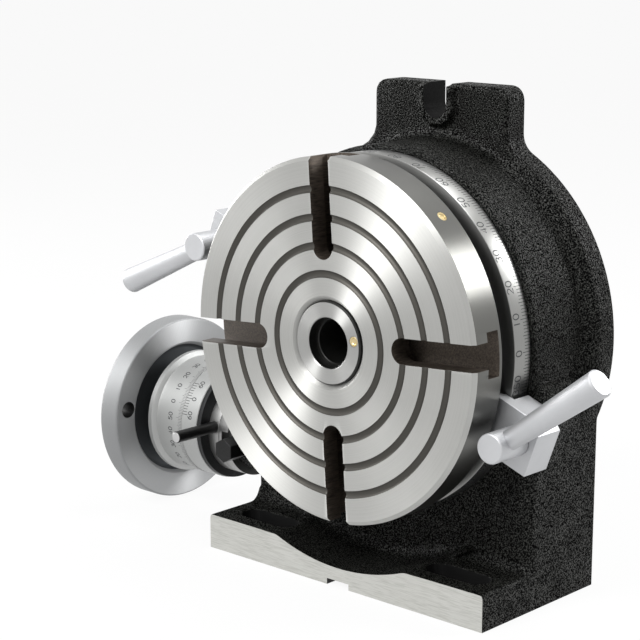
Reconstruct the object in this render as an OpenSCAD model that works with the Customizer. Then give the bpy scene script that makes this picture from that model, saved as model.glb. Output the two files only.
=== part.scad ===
// Horizontal and vertical rotary table with a 90 to 1 worm drive.
// The table turns about Y and faces -Y, the worm lies along X under it, and Z is up.
// The origin is the centre of the table's face, at the mouth of the centre bore.

/* [Table] */
// Diameter of the rotary table
table_d = 200; // [196:1:210]
// Thickness of the table's rim
rim_t = 22.5; // [21:0.5:24]
// Chamfer on the rim's front edge
rim_chamfer = 2.2; // [0.5:0.1:4]
// How far the T slots are turned from level in the rest position, in degrees
table_turn = -4; // [-8:0.5:8]
// Radius of the innermost circular groove
groove_r = 37.5; // [33:0.5:40]
// Distance from one circular groove to the next
groove_pitch = 15.1; // [10:0.1:16]
// Number of circular grooves
groove_count = 4; // [1:1:4]
// Width of a circular groove
groove_w = 3.5; // [1:0.1:6]
// Depth of a circular groove
groove_depth = 1.2; // [0.3:0.1:2.5]

/* [T slots] */
// Width of the slot's mouth
slot_w = 14; // [10:0.5:16]
// Depth of the narrow mouth
slot_mouth_depth = 11; // [8:0.5:12]
// Width of the undercut
undercut_w = 24; // [19:0.5:28]
// Height of the undercut
undercut_h = 9; // [5:0.5:9.5]
// Distance from the table's axis to the round inner end's centre
slot_start = 52; // [48:0.5:60]
// Chamfer along the mouth
slot_chamfer = 1.4; // [0.4:0.1:2]

/* [Graduated ring] */
// Outer diameter of the graduated ring
ring_d = 198; // [190:1:198]
// Width of the graduated ring
ring_w = 13.4; // [8:0.1:15]
// Diameter of the dark groove between rim and ring
neck_d = 180; // [178:1:184]
// Diameter of the seat that the ring is pressed on
ring_seat_d = 176; // [168:1:177]

/* [Centre sleeve] */
// Diameter of the parallel register at the mouth
register_d = 28; // [26:0.5:32]
// Depth of the parallel register
register_depth = 6; // [3:0.5:10]
// Large end of the number 3 Morse taper
taper_d = 23.825; // [21:0.005:25]
// Length of the taper
taper_len = 81; // [60:1:86]
// Taper on diameter, for each millimetre of length
taper_rate = 0.0502; // [0.04:0.0001:0.06]
// Diameter of the hole behind the taper
drawbar_d = 18; // [12:0.5:18.5]
// Diameter of the sleeve's head
sleeve_head_d = 46; // [43:0.5:50]
// Depth of the sleeve's head
sleeve_head_t = 8; // [4:0.5:12]
// Outer diameter of the sleeve's body
sleeve_d = 40; // [36:0.5:42]

/* [Body] */
// Distance from the table's face to the body's front face
body_front = 47.8; // [47:0.1:50]
// Distance from the table's face to the rear mounting face
body_back = 107; // [106:0.5:112]
// Outer diameter of the drum
drum_d = 204; // [201:1:212]
// Diameter of the rear flange
flange_d = 220.5; // [216:0.5:226]
// Thickness of the rear flange
flange_t = 15.5; // [13:0.5:18]
// Width of the box and the foot
body_w = 202; // [198:1:210]
// Height of the table's axis over the foot's underside
centre_h = 140; // [140:0.5:150]
// Top of the box below the table's axis
box_top = 18; // [10:1:30]
// Radius on the box's upright front edges
box_edge_r = 5; // [2:0.5:8]

/* [Foot] */
// Thickness of the foot
foot_t = 20.5; // [14:0.5:26]
// Distance from the table's face to the foot's front
foot_front = 8.3; // [6:0.1:12]
// Radius of the dip in the foot, about the table's axis
dip_r = 129; // [127:0.5:134]
// Radius of the blend between foot and box
foot_fillet = 7; // [3:0.5:10]
// Width of the hold-down slots
foot_slot_w = 15; // [12:0.5:18]
// Overall length of the hold-down slots
foot_slot_len = 40; // [24:1:44]
// Distance from the middle to a hold-down slot's centre
foot_slot_x = 70; // [66:1:74]
// Distance from the table's face to the slots' centre line
foot_slot_y = 27; // [25:0.5:29]
// Width of the keyway under the foot
keyway_w = 16; // [10:0.5:20]
// Depth of the keyway under the foot
keyway_depth = 3.5; // [2:0.5:6]
// Chamfer round the machined front of the foot
foot_chamfer = 1; // [0.3:0.1:2]

/* [Ear] */
// Width of the ear
ear_w = 94.5; // [84:0.5:104]
// Height of the ear's top over the table's axis
ear_top = 132.5; // [130:0.5:140]
// Corner radius of the ear
ear_corner_r = 8; // [4:0.5:12]
// Radius of the blend from ear to flange
ear_fillet = 12; // [6:1:16]
// Width of the open slot in the ear
ear_slot_w = 15; // [12:0.5:18]
// Height of the slot's round end over the table's axis
ear_slot_z = 121; // [119:0.5:123]
// Width of the raised pad round the slot
ear_pad_w = 24.5; // [21:0.5:30]
// How far the pad stands proud of the ear
ear_pad_t = 4; // [1:0.5:6]

/* [Spindle and worm wheel] */
// Diameter of the front journal
journal_d = 156; // [155:0.5:158]
// Length of the front journal
journal_len = 5.4; // [4:0.1:6]
// Diameter of the rear spindle
spindle_d = 56; // [54:0.5:58]
// Wall of the rear bush
bush_wall = 4; // [3:0.5:6]
// Radial running clearance of journals and shafts
run_gap = 0.03; // [0.02:0.005:0.06]
// Number of teeth on the worm wheel
wheel_teeth = 90; // [90:1:90]
// Module of worm and wheel
module_mm = 1.61; // [1.61:0.01:1.62]
// Face width of the worm wheel
wheel_w = 12; // [8:0.5:13]
// Diameter of the worm wheel's hub
wheel_hub_d = 120; // [110:1:130]
// Share of the pitch taken by a tooth at the pitch line
tooth_share = 0.29; // [0.27:0.01:0.29]
// Height of a tooth over the pitch line, in modules
tip_height = 0.9; // [0.85:0.05:0.9]
// Front of the web that carries the rear bush
web_front = 79; // [78:0.5:80]
// Thickness of that web
web_t = 9; // [7:0.5:9.5]
// Thickness of the thrust washer
washer_t = 2.5; // [1.5:0.5:2.5]
// Diameter of the spindle nut
nut_d = 84; // [76:1:92]
// Thickness of the spindle nut
nut_t = 7; // [5:0.5:7.5]

/* [Rear cover] */
// Diameter of the rear cover
cover_d = 140; // [136:1:150]
// Width of the step that the cover is screwed to
cover_rim = 10; // [9:0.5:14]
// Thickness of the rear cover
cover_t = 4.5; // [4:0.5:5]
// How deep the cover lies under the rear face
cover_sink = 2; // [1:0.5:2]
// Number of cover screws
cover_screws = 6; // [3:1:8]

/* [Worm] */
// Pitch diameter of the worm
worm_pitch_d = 19.5; // [19.4:0.1:19.7]
// Length of the thread
worm_len = 44; // [36:1:46]
// Diameter of the worm shaft
shaft_d = 13; // [12:0.5:13.5]
// Distance from the table's face to the worm's axis
worm_y = 69; // [69:0.5:71]
// Eccentricity of the sleeve that carries the worm
ecc = 2.3; // [2.2:0.05:2.4]
// Outer diameter of the eccentric sleeve
ecc_sleeve_d = 30.8; // [30.4:0.1:31]

/* [Handwheel] */
// Diameter of the handwheel
wheel_d = 115; // [96:1:115]
// Width of the handwheel's rim
wheel_rim_w = 16; // [12:0.5:20]
// Distance from the table's axis to the handwheel's inner face
wheel_x = 186.5; // [184:0.5:190]
// Distance from the handwheel's axis to the tapped hole for a crank handle
crank_hole_r = 48; // [44:0.5:50]
// Thread diameter of the crank handle hole
crank_hole_d = 10; // [8:0.5:12]

/* [Dial] */
// Diameter of the graduated dial
dial_d = 71; // [66:0.5:72]
// Width of the graduated dial
dial_w = 27.5; // [24:0.5:30]
// Diameter of the dial's grip rim
dial_rim_d = 76.5; // [74:0.5:80]
// Width of the vernier ring
vernier_w = 13; // [10:0.5:14]
// Distance from the table's axis to the vernier's inner end
vernier_x = 138.7; // [138.4:0.1:139.4]

/* [Engagement lever] */
// Diameter of the lever rod
rod_d = 7; // [5:0.5:8]
// How far the rod's end stands in front of the sleeve's axis
rod_reach = 59; // [50:1:61]
// Height of the rod over the sleeve's axis
rod_rise = 5.1; // [2:0.1:8]
// Diameter of the collar that holds the rod
collar_d = 56; // [50:0.5:58]
// Width across flats of the lock screw's head
lock_head_w = 13; // [10:0.5:14]

/* [Table clamps] */
// Distance from the table's axis to a clamp screw
clamp_r = 113.5; // [113:0.5:116]
// Angle of the right clamp, in degrees above the level line
clamp_angle = -20; // [-24:0.5:-17]
// Diameter of the clamp screw's boss
boss_d = 16; // [14:0.5:17]
// Front end of the clamp screw's boss
boss_front = 4; // [2:0.5:6]
// Front face of the clamp block
block_front = 26.5; // [25.5:0.5:28]
// Width of the clamp block
block_w = 31; // [26:0.5:34]
// Outer end of the clamp block, from the table's axis
block_out = 125; // [124:0.5:130]
// Gap between the clamp block's toe and the neck
toe_clear = 2; // [1.5:0.5:4]
// Gap between the toe and the graduated ring, when slack
toe_gap = 0.5; // [0.3:0.05:0.8]
// Diameter of the clamp screw's thread
clamp_thread_d = 10; // [8:0.5:12]
// Length of the clamp lever, from the screw's axis
lever_len = 72.5; // [60:0.5:80]
// Diameter of the lever at the boss
lever_root_d = 11; // [9:0.5:12]
// Diameter of the lever at its free end
lever_end_d = 15; // [12:0.5:16]
// Direction of the right lever, in degrees from level
lever_right_angle = 36; // [20:1:50]
// Direction of the left lever, in degrees from level
lever_left_angle = 204; // [190:1:230]

/* [Hidden] */
$fn = 96;

eps = 0.01;
face_gap = 0.2;
base_z = -centre_h;
foot_z = base_z + foot_t;
ring_front = body_front - face_gap - ring_w;
ring_back = body_front - face_gap;
flange_y = body_back - flange_t;
journal_back = body_front + journal_len;
wheel_pitch_r = wheel_teeth * module_mm / 2;
wheel_tip_r = wheel_pitch_r + tip_height * module_mm;
wheel_root_r = wheel_pitch_r - 1.25 * module_mm;
worm_pitch_r = worm_pitch_d / 2;
worm_tip_r = worm_pitch_r + tip_height * module_mm;
worm_root_r = worm_pitch_r - 1.25 * module_mm;
thread_pitch = PI * module_mm;
worm_z = -(wheel_pitch_r + worm_pitch_r);
ecc_z = worm_z - ecc;
ecc_r = ecc_sleeve_d / 2;
shaft_r = shaft_d / 2;
wheel_front = worm_y - wheel_w / 2;
wheel_back = worm_y + wheel_w / 2;
spindle_r = spindle_d / 2;
bush_r = spindle_r + bush_wall;
web_back = web_front + web_t;
washer_back = web_back + washer_t;
nut_front = washer_back + face_gap;
nut_back = nut_front + nut_t;
spindle_back = nut_back + 0.7;
cover_back = body_back - cover_sink;
cover_front = cover_back - cover_t;
recess_d = cover_d - 2 * cover_rim;
side_x = body_w / 2;
sleeve_tube_x = ceil(sqrt(pow(wheel_tip_r, 2) - pow(-ecc_z - ecc_r, 2))) + 3;
tunnel_len = 24;
tunnel_end_x = sleeve_tube_x + tunnel_len;
bush_left_x = tunnel_end_x;
right_bush_x = tunnel_end_x - 3;
worm_collar_w = 10;
collar_r = collar_d / 2;
backplate_t = 3;
backplate_x = vernier_x - backplate_t;
collar_w = 8.5;
collar_x = backplate_x - collar_w;
index_x = collar_x - face_gap;
index_w = 7.8;
boss_x = index_x - index_w;
worm_boss_r = 24;
index_screw_r = 20;
rod_x = backplate_x - collar_w / 2;
dial_x = vernier_x + vernier_w + face_gap;
dial_bore_r = 14;
wheel_out_x = wheel_x + wheel_rim_w;
lock_out = 14.5;
lock_drop = 5.1;
lock_x = side_x + lock_out;
lock_z = ecc_z - lock_drop;
lock_seat_y = worm_y - ecc_r - 6;
lock_stem_r = 4;
lug_front = body_front - 1.5;
lug_len = 18;
lug_w = 44;
lug_out = 7;
lug_corner = 6;
lug_inset = 2;
lug_sink = 12;
block_back = lug_front - 0.6;
toe_back = ring_front - toe_gap;
toe_tip_t = 4;
toe_slope = 3.2;
toe_in = neck_d / 2 + toe_clear;
ring_clear = max(ring_d / 2, toe_in) + 1.2;
toe_foot = min(toe_in + toe_slope, ring_clear);
lever_y = (boss_front + block_front) / 2 - 0.6;
recess_depth = 4;
web_x_in = wheel_x + recess_depth;
crank_angle = 9;
screw_m3 = 3;
screw_m4 = 4;
screw_m5 = 5;
screw_gap = 0.2;
low_head_t = 3.2;
cover_screw_grip = 6;
index_screw_grip = 8;
wheel_screw_len = 24;
nut_slot_w = 8;
nut_slot_depth = 4;
nut_screw_r = 2.5;
vernier_bore_r = 28;
spring_r = 21.5;
spring_len = 9;
spring_front = 1;
backplate_screw_len = 9;
backplate_head_t = 2.2;
backplate_screw_r = 21;
key_w = 4;
key_len = 16;
key_sink = 2.5;
key_t = 4.3;
key_x = 9;
wheel_nut_d = 22;
wheel_nut_t = 7;
wheel_hub_sink = 2;
dish_depth = 5;
lock_head_t = 14;
lock_seat_w = 18;
oiler_r = 2.9;
oiler_t = 5;
sleeve_oiler_at = [18.8, 2.4];
rim_oiler_angle = 44;
rim_oiler_y = 13;

function polar(r, a) = [r * cos(a), r * sin(a)];

// Points on a circle's arc, for outlines
function arc(cx, cy, r, a0, a1, n = 8) =
    [for (i = [0 : n]) [cx + r * cos(a0 + (a1 - a0) * i / n), cy + r * sin(a0 + (a1 - a0) * i / n)]];

// A solid turned about the table's axis, from an outline of [radius, depth] points
module turned_y(points) {
    rotate([-90, 0, 0])
        rotate_extrude()
            polygon(points);
}

// An outline in X and Z, pushed from one depth to another
module slab_y(y0, y1) {
    translate([0, y1, 0])
        rotate([90, 0, 0])
            linear_extrude(y1 - y0)
                children();
}

// A round bar along Y
module bar_y(x, z, r, y0, y1) {
    translate([x, y0, z])
        rotate([-90, 0, 0])
            cylinder(r = r, h = y1 - y0);
}

// A round bar along X
module bar_x(y, z, r, x0, x1) {
    translate([x0, y, z])
        rotate([0, 90, 0])
            cylinder(r = r, h = x1 - x0);
}

// A solid turned about an axis along X, from [radius, x] points with x growing to the left
module turned_x(y, z, points) {
    translate([0, y, z])
        rotate([0, -90, 0])
            rotate_extrude()
                polygon(points);
}

// Diameter of a cap screw's head
function head_d(d) = 1.5 * d + 1;

// A socket head cap screw that points along +Y, with its head's top at the origin
module cap_screw(d, len, head_t) {
    rotate([-90, 0, 0])
        difference() {
            union() {
                cylinder(d = head_d(d), h = head_t, $fn = 32);
                cylinder(d = d, h = len, $fn = 32);
            }
            translate([0, 0, -eps])
                cylinder(d = d * 0.9, h = head_t * 0.6, $fn = 6);
        }
}

// The hole that such a screw sits in, a little wider and deeper
module cap_hole(d, len, head_t) {
    rotate([-90, 0, 0])
        union() {
            translate([0, 0, -1])
                cylinder(d = head_d(d) + 2 * screw_gap, h = head_t + screw_gap + 1, $fn = 32);
            cylinder(d = d, h = len + 0.5, $fn = 32);
        }
}

// A slot outline with round ends, along X
module obround(len, w) {
    square([len - w, w], center = true);
    for (s = [-1, 1])
        translate([s * (len - w) / 2, 0])
            circle(d = w);
}

module on_table() {
    rotate([0, table_turn, 0])
        children();
}

// Each child is placed on a clamp's own axes: X outward from the table's axis
module at_clamp(side) {
    rotate([0, side > 0 ? -clamp_angle : 180 - clamp_angle, 0])
        children();
}

// Places of the clamp screws
function clamp_at(side) = [side * clamp_r * cos(clamp_angle), side * clamp_r * sin(clamp_angle)];

module drum_blank() {
    drum_r = drum_d / 2;
    flange_r = flange_d / 2;
    blend = 5;
    edge = 4;
    turned_y(concat(
        [[0, body_front], [drum_r - 1, body_front], [drum_r, body_front + 1], [drum_r, flange_y - blend]],
        arc(drum_r + blend, flange_y - blend, blend, 180, 90),
        arc(flange_r - edge, flange_y + edge, edge, -90, 0),
        [[flange_r, body_back], [0, body_back]]));
}

module ear_blank() {
    half = ear_w / 2;
    r = ear_corner_r;
    flange_r = flange_d / 2;
    root_x = half + ear_fillet;
    root_z = sqrt(pow(flange_r + ear_fillet, 2) - pow(root_x, 2));
    root_angle = atan2(root_z, root_x);
    side = concat(
        [polar(flange_r - 6, root_angle)],
        arc(root_x, root_z, ear_fillet, 180 + 0.92 * root_angle, 180, 10),
        arc(half - r, ear_top - r, r, 0, 90));
    slab_y(flange_y, body_back)
        polygon(concat([[0, 0]], side, [for (i = [len(side) - 1 : -1 : 0]) [-side[i][0], side[i][1]]]));
}

module box_blank() {
    depth = body_back - body_front;
    translate([0, 0, base_z])
        linear_extrude(centre_h - box_top)
            union() {
                translate([-side_x, body_front + box_edge_r])
                    square([body_w, depth - box_edge_r]);
                translate([-side_x + box_edge_r, body_front])
                    square([body_w - 2 * box_edge_r, depth]);
                for (s = [-1, 1])
                    translate([s * (side_x - box_edge_r), body_front + box_edge_r])
                        circle(r = box_edge_r);
            }
}

module foot_blank() {
    depth = body_front + box_edge_r - foot_front;
    difference() {
        translate([-side_x, foot_front, base_z])
            cube([body_w, depth, foot_t]);
        bar_y(0, 0, dip_r, foot_front - 1, body_front + box_edge_r + 1);
        translate([0, foot_front, foot_z])
            rotate([45, 0, 0])
                cube([body_w + 2, foot_chamfer * 1.414, foot_chamfer * 1.414], center = true);
    }
}

// The blends where the foot runs into the box and where the dip runs into the drum's underside
module foot_blends() {
    r = foot_fillet;
    difference() {
        translate([-side_x, body_front - r, foot_z - eps])
            cube([body_w, r + 1, r]);
        bar_x(body_front - r, foot_z + r, r, -side_x - 1, side_x + 1);
        bar_y(0, 0, dip_r, 0, body_back);
    }
    intersection() {
        turned_y(concat(
            [[dip_r + 1, body_front - r], [dip_r, body_front - r]],
            arc(dip_r - r, body_front - r, r, 0, 90),
            [[dip_r - r, body_front + 1], [dip_r + 1, body_front + 1]]));
        translate([-side_x, body_front - r - 1, base_z])
            cube([body_w, r + 3, foot_t + r]);
    }
}

// Outline of a lug from its inner end outward, with round outer corners
module lug_outline(start, inset) {
    half = lug_w / 2 - inset;
    end = clamp_r + lug_out - inset;
    r = lug_corner;
    polygon(concat([[start, -half]], arc(end - r, r - half, r, -90, 0), arc(end - r, half - r, r, 0, 90),
        [[start, half]]));
}

module clamp_lug(side) {
    at_clamp(side)
        union() {
            slab_y(lug_front, lug_front + lug_len)
                lug_outline(ring_clear + lug_inset, 0);
            slab_y(body_front + lug_inset, lug_front + lug_len - lug_inset)
                lug_outline(drum_d / 2 - lug_sink, lug_inset);
        }
}

module foot_slots() {
    for (s = [-1, 1])
        translate([s * foot_slot_x, foot_slot_y, base_z - 1])
            linear_extrude(foot_t + 2)
                obround(foot_slot_len, foot_slot_w);
}

// The slot in the ear and the pad round it have the same outline, open on top
module ear_outline(w, top, y0, y1) {
    slab_y(y0, y1)
        union() {
            translate([0, ear_slot_z])
                circle(d = w);
            translate([-w / 2, ear_slot_z])
                square([w, top - ear_slot_z]);
        }
}

module cover_places() {
    for (i = [0 : cover_screws - 1])
        rotate([0, 30 + i * 360 / cover_screws, 0])
            translate([(cover_d + recess_d) / 4, cover_back, 0])
                children();
}

module index_places() {
    for (a = [0, 120, 240])
        translate([-index_x, worm_y + index_screw_r * cos(a), ecc_z + index_screw_r * sin(a)])
            children();
}

module base_casting() {
    color([0.10, 0.10, 0.11])
        difference() {
            union() {
                drum_blank();
                ear_blank();
                ear_outline(ear_pad_w, ear_top - 1, flange_y - ear_pad_t, flange_y + 1);
                box_blank();
                foot_blank();
                foot_blends();
                clamp_lug(1);
                clamp_lug(-1);
                bar_x(worm_y, ecc_z, worm_boss_r, -boss_x, -side_x + 5);
            }
            bar_y(0, 0, journal_d / 2 + run_gap, body_front - 3, web_front);
            bar_y(0, 0, bush_r, web_front - 1, web_back + 1);
            bar_y(0, 0, recess_d / 2, web_back, body_back + 1);
            bar_y(0, 0, cover_d / 2 + 0.2, cover_front, body_back + 1);
            bar_x(worm_y, ecc_z, ecc_r + run_gap, -boss_x - 1, tunnel_end_x + 1);
            foot_slots();
            ear_outline(ear_slot_w, ear_top + 1, flange_y - ear_pad_t - 1, body_back + 1);
            translate([-keyway_w / 2, 0, base_z - 1])
                cube([keyway_w, body_back + 1, keyway_depth + 1]);
            cover_places()
                translate([0, -cover_t - cover_screw_grip - 2, 0])
                    rotate([-90, 0, 0])
                        cylinder(d = screw_m4, h = cover_t + cover_screw_grip + 2, $fn = 32);
            for (side = [-1, 1])
                bar_y(clamp_at(side)[0], clamp_at(side)[1], clamp_thread_d / 2 + run_gap,
                    lug_front - 1, lug_front + lug_len + 1);
            index_places()
                rotate([0, 90, 0])
                    cylinder(d = screw_m4, h = index_w + index_screw_grip + 1, $fn = 32);
            bar_y(-lock_x, lock_z, lock_stem_r + run_gap, 0, worm_y);
            lock_seat_cut();
        }
}

module rear_cover() {
    color([0.16, 0.16, 0.17])
        difference() {
            bar_y(0, 0, cover_d / 2, cover_front, cover_back);
            bar_y(0, 0, sleeve_d / 2 + 2, cover_front - 1, cover_back + 1);
            cover_places()
                rotate([180, 0, 0])
                    cap_hole(screw_m4, cover_t + 2, low_head_t);
        }
}

module rear_cover_screws() {
    color([0.2, 0.2, 0.21])
        cover_places()
            rotate([180, 0, 0])
                translate([0, screw_gap, 0])
                    cap_screw(screw_m4, cover_t + cover_screw_grip, low_head_t);
}

module spindle_bush() {
    color([0.72, 0.55, 0.28])
        turned_y([[spindle_r + run_gap, web_front], [bush_r, web_front],
            [bush_r, web_back], [spindle_r + run_gap, web_back]]);
}

module thrust_washer() {
    color([0.72, 0.55, 0.28])
        turned_y([[spindle_r + 0.3, web_back], [nut_d / 2, web_back],
            [nut_d / 2, washer_back], [spindle_r + 0.3, washer_back]]);
}

module rotary_table() {
    r = table_d / 2;
    seat = 2.5;
    head_r = sleeve_head_d / 2 + 0.1;
    color([0.78, 0.78, 0.77])
        on_table()
            difference() {
                turned_y([
                    [sleeve_d / 2, spindle_back], [sleeve_d / 2, sleeve_head_t], [head_r, sleeve_head_t],
                    [head_r, seat], [head_r + seat, 0], [r - rim_chamfer, 0], [r, rim_chamfer],
                    [r, rim_t], [neck_d / 2, rim_t], [neck_d / 2, ring_front], [ring_seat_d / 2, ring_front],
                    [ring_seat_d / 2, ring_back], [journal_d / 2, ring_back], [journal_d / 2, journal_back],
                    [spindle_r, journal_back], [spindle_r, spindle_back]]);
                for (i = [0 : groove_count - 1])
                    turned_y([
                        [groove_r + i * groove_pitch - groove_w / 2, -1],
                        [groove_r + i * groove_pitch + groove_w / 2, -1],
                        [groove_r + i * groove_pitch + groove_w / 2, groove_depth],
                        [groove_r + i * groove_pitch - groove_w / 2, groove_depth]]);
                for (a = [0 : 90 : 270])
                    rotate([0, a, 0])
                        t_slot_cut();
                rim_oiler_hole();
                wheel_screw_places()
                    translate([0, wheel_back - journal_back - wheel_screw_len - 1, 0])
                        rotate([-90, 0, 0])
                            cylinder(d = screw_m5, h = wheel_screw_len, $fn = 32);
            }
}

// One T slot, running outward along +X
module t_slot_cut() {
    reach = table_d / 2 + 2 - slot_start;
    slab_y(-1, slot_mouth_depth + 1)
        union() {
            translate([slot_start, 0])
                circle(d = slot_w);
            translate([slot_start, -slot_w / 2])
                square([reach, slot_w]);
        }
    slab_y(slot_mouth_depth, slot_mouth_depth + undercut_h)
        union() {
            translate([slot_start, 0])
                circle(d = undercut_w);
            translate([slot_start, -undercut_w / 2])
                square([reach, undercut_w]);
        }
    translate([slot_start, 0, 0])
        turned_y([[0, -1], [slot_w / 2 + slot_chamfer + 1, -1],
            [slot_w / 2, slot_chamfer], [0, slot_chamfer]]);
    translate([slot_start, 0, 0])
        rotate([90, 0, 90])
            linear_extrude(reach)
                polygon([[-1, slot_w / 2 + slot_chamfer + 1], [slot_chamfer, slot_w / 2],
                    [slot_chamfer, -slot_w / 2], [-1, -slot_w / 2 - slot_chamfer - 1]]);
}

module graduated_ring() {
    r = ring_d / 2;
    color([0.82, 0.82, 0.82])
        on_table()
            turned_y([[ring_seat_d / 2, ring_front], [r - 0.5, ring_front], [r, ring_front + 0.5],
                [r, ring_back], [ring_seat_d / 2, ring_back]]);
}

module centre_sleeve() {
    small_r = (taper_d - taper_len * taper_rate) / 2;
    taper_end = register_depth + taper_len;
    head_r = sleeve_head_d / 2;
    color([0.80, 0.80, 0.80])
        on_table()
            difference() {
                turned_y([
                    [register_d / 2, 0], [head_r - 0.4, 0], [head_r, 0.4], [head_r, sleeve_head_t],
                    [sleeve_d / 2, sleeve_head_t], [sleeve_d / 2, spindle_back],
                    [drawbar_d / 2, spindle_back], [drawbar_d / 2, taper_end], [small_r, taper_end],
                    [taper_d / 2, register_depth], [register_d / 2, register_depth]]);
                sleeve_oiler_hole();
            }
}

module oiler() {
    difference() {
        rotate([-90, 0, 0])
            cylinder(r = oiler_r, h = oiler_t, $fn = 48);
        rotate([90, 0, 0])
            translate([0, 0, -0.6])
                cylinder(r1 = 1.1, r2 = 1.9, h = 0.7, $fn = 32);
    }
    translate([0, 1.4, 0])
        sphere(r = 1.2, $fn = 24);
}

module sleeve_oiler_hole() {
    bar_y(sleeve_oiler_at[0], sleeve_oiler_at[1], oiler_r, -1, oiler_t);
}

module sleeve_oiler() {
    color([0.85, 0.68, 0.32])
        on_table()
            translate([sleeve_oiler_at[0], 0, sleeve_oiler_at[1]])
                oiler();
}

module rim_oiler_place() {
    rotate([0, -rim_oiler_angle, 0])
        translate([table_d / 2 - 0.1, rim_oiler_y, 0])
            rotate([0, 0, 90])
                children();
}

module rim_oiler_hole() {
    rim_oiler_place()
        rotate([-90, 0, 0])
            translate([0, 0, -1])
                cylinder(r = oiler_r, h = oiler_t + 1, $fn = 48);
}

module rim_oiler() {
    color([0.85, 0.68, 0.32])
        on_table()
            rim_oiler_place()
                oiler();
}

module wheel_screw_places() {
    for (i = [0 : 5])
        rotate([0, i * 60 + 15, 0])
            translate([(wheel_hub_d + spindle_d) / 4, journal_back, 0])
                children();
}

// Outline of the worm wheel's teeth, with a gap facing the worm
function tooth_points(n) = [for (i = [0 : n - 1]) each tooth(i * 360 / n - 90 + 180 / n, 360 / n)];
function tooth(a, step) =
    let (root = step * (tooth_share + 0.14), mid = step * tooth_share, tip = step * (tooth_share - 0.12))
    [
        polar(wheel_root_r, a - root / 2),
        polar(wheel_pitch_r, a - mid / 2),
        polar(wheel_tip_r, a - tip / 2),
        polar(wheel_tip_r, a + tip / 2),
        polar(wheel_pitch_r, a + mid / 2),
        polar(wheel_root_r, a + root / 2)
    ];

module worm_wheel() {
    color([0.76, 0.58, 0.30])
        difference() {
            union() {
                slab_y(wheel_front, wheel_back)
                    polygon(tooth_points(wheel_teeth));
                bar_y(0, 0, wheel_hub_d / 2, journal_back, wheel_back);
            }
            bar_y(0, 0, spindle_r, journal_back - 1, wheel_back + 1);
            on_table()
                wheel_screw_places()
                    translate([0, wheel_back - journal_back, 0])
                        rotate([180, 0, 0])
                            cap_hole(screw_m5, wheel_screw_len + 2, screw_m5 - screw_gap);
        }
}

module worm_wheel_screws() {
    color([0.2, 0.2, 0.21])
        on_table()
            wheel_screw_places()
                translate([0, wheel_back - journal_back, 0])
                    rotate([180, 0, 0])
                        translate([0, screw_gap, 0])
                            cap_screw(screw_m5, wheel_screw_len, screw_m5 - screw_gap);
}

module spindle_nut() {
    color([0.45, 0.45, 0.46])
        on_table()
            difference() {
                bar_y(0, 0, nut_d / 2, nut_front, nut_back);
                bar_y(0, 0, spindle_r, nut_front - 1, nut_back + 1);
                for (a = [0 : 90 : 270])
                    rotate([0, a, 0])
                        translate([nut_d / 2 - nut_slot_depth, nut_front - 1, -nut_slot_w / 2])
                            cube([nut_slot_depth + 1, nut_t + 2, nut_slot_w]);
                for (a = [45, 225])
                    rotate([0, a, 0])
                        bar_x(nut_front + nut_t / 2, 0, nut_screw_r, spindle_r - 1, nut_d / 2 + 1);
            }
}

module spindle_nut_screws() {
    color([0.2, 0.2, 0.21])
        on_table()
            for (a = [45, 225])
                rotate([0, a, 0])
                    bar_x(nut_front + nut_t / 2, 0, nut_screw_r, spindle_r, nut_d / 2 - nut_slot_depth / 2);
}

// Flat on the boss and the collar under the lock screw's head
module lock_seat_cut() {
    translate([-lock_x - lock_seat_w / 2, 0, lock_z - lock_seat_w / 2])
        cube([lock_seat_w, lock_seat_y, lock_seat_w]);
}

module index_collar() {
    color([0.74, 0.74, 0.75])
        difference() {
            bar_x(worm_y, ecc_z, collar_r, -index_x, -boss_x);
            bar_x(worm_y, ecc_z, ecc_r + run_gap, -index_x - 1, -boss_x + 1);
            index_places()
                rotate([0, 0, -90])
                    cap_hole(screw_m4, index_w + 1, screw_m4 - screw_gap);
            lock_seat_cut();
            bar_y(-lock_x, lock_z, lock_stem_r + run_gap, 0, worm_y);
        }
}

module index_collar_screws() {
    color([0.2, 0.2, 0.21])
        index_places()
            rotate([0, 0, -90])
                translate([0, screw_gap, 0])
                    cap_screw(screw_m4, index_w + index_screw_grip, screw_m4 - screw_gap);
}

module lock_screw() {
    color([0.15, 0.15, 0.16])
        union() {
            translate([-lock_x, lock_seat_y - 0.1, lock_z])
                rotate([90, 0, 0])
                    rotate([0, 0, 30])
                        cylinder(d = lock_head_w / cos(30), h = lock_head_t, $fn = 6);
            bar_y(-lock_x, lock_z, lock_stem_r, lock_seat_y - 1, worm_y - ecc_r - 0.3);
        }
}

// A wedge of angles about the sleeve's axis, wide enough to cut the whole sleeve
module angle_wedge(a0, a1, x0, x1) {
    far = 60;
    translate([x0, worm_y, ecc_z])
        rotate([90, 0, 90])
            linear_extrude(x1 - x0)
                polygon([[0, 0], [far * cos(a0), far * sin(a0)],
                    [far * cos((a0 + a1) / 2), far * sin((a0 + a1) / 2)], [far * cos(a1), far * sin(a1)]]);
}

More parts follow.
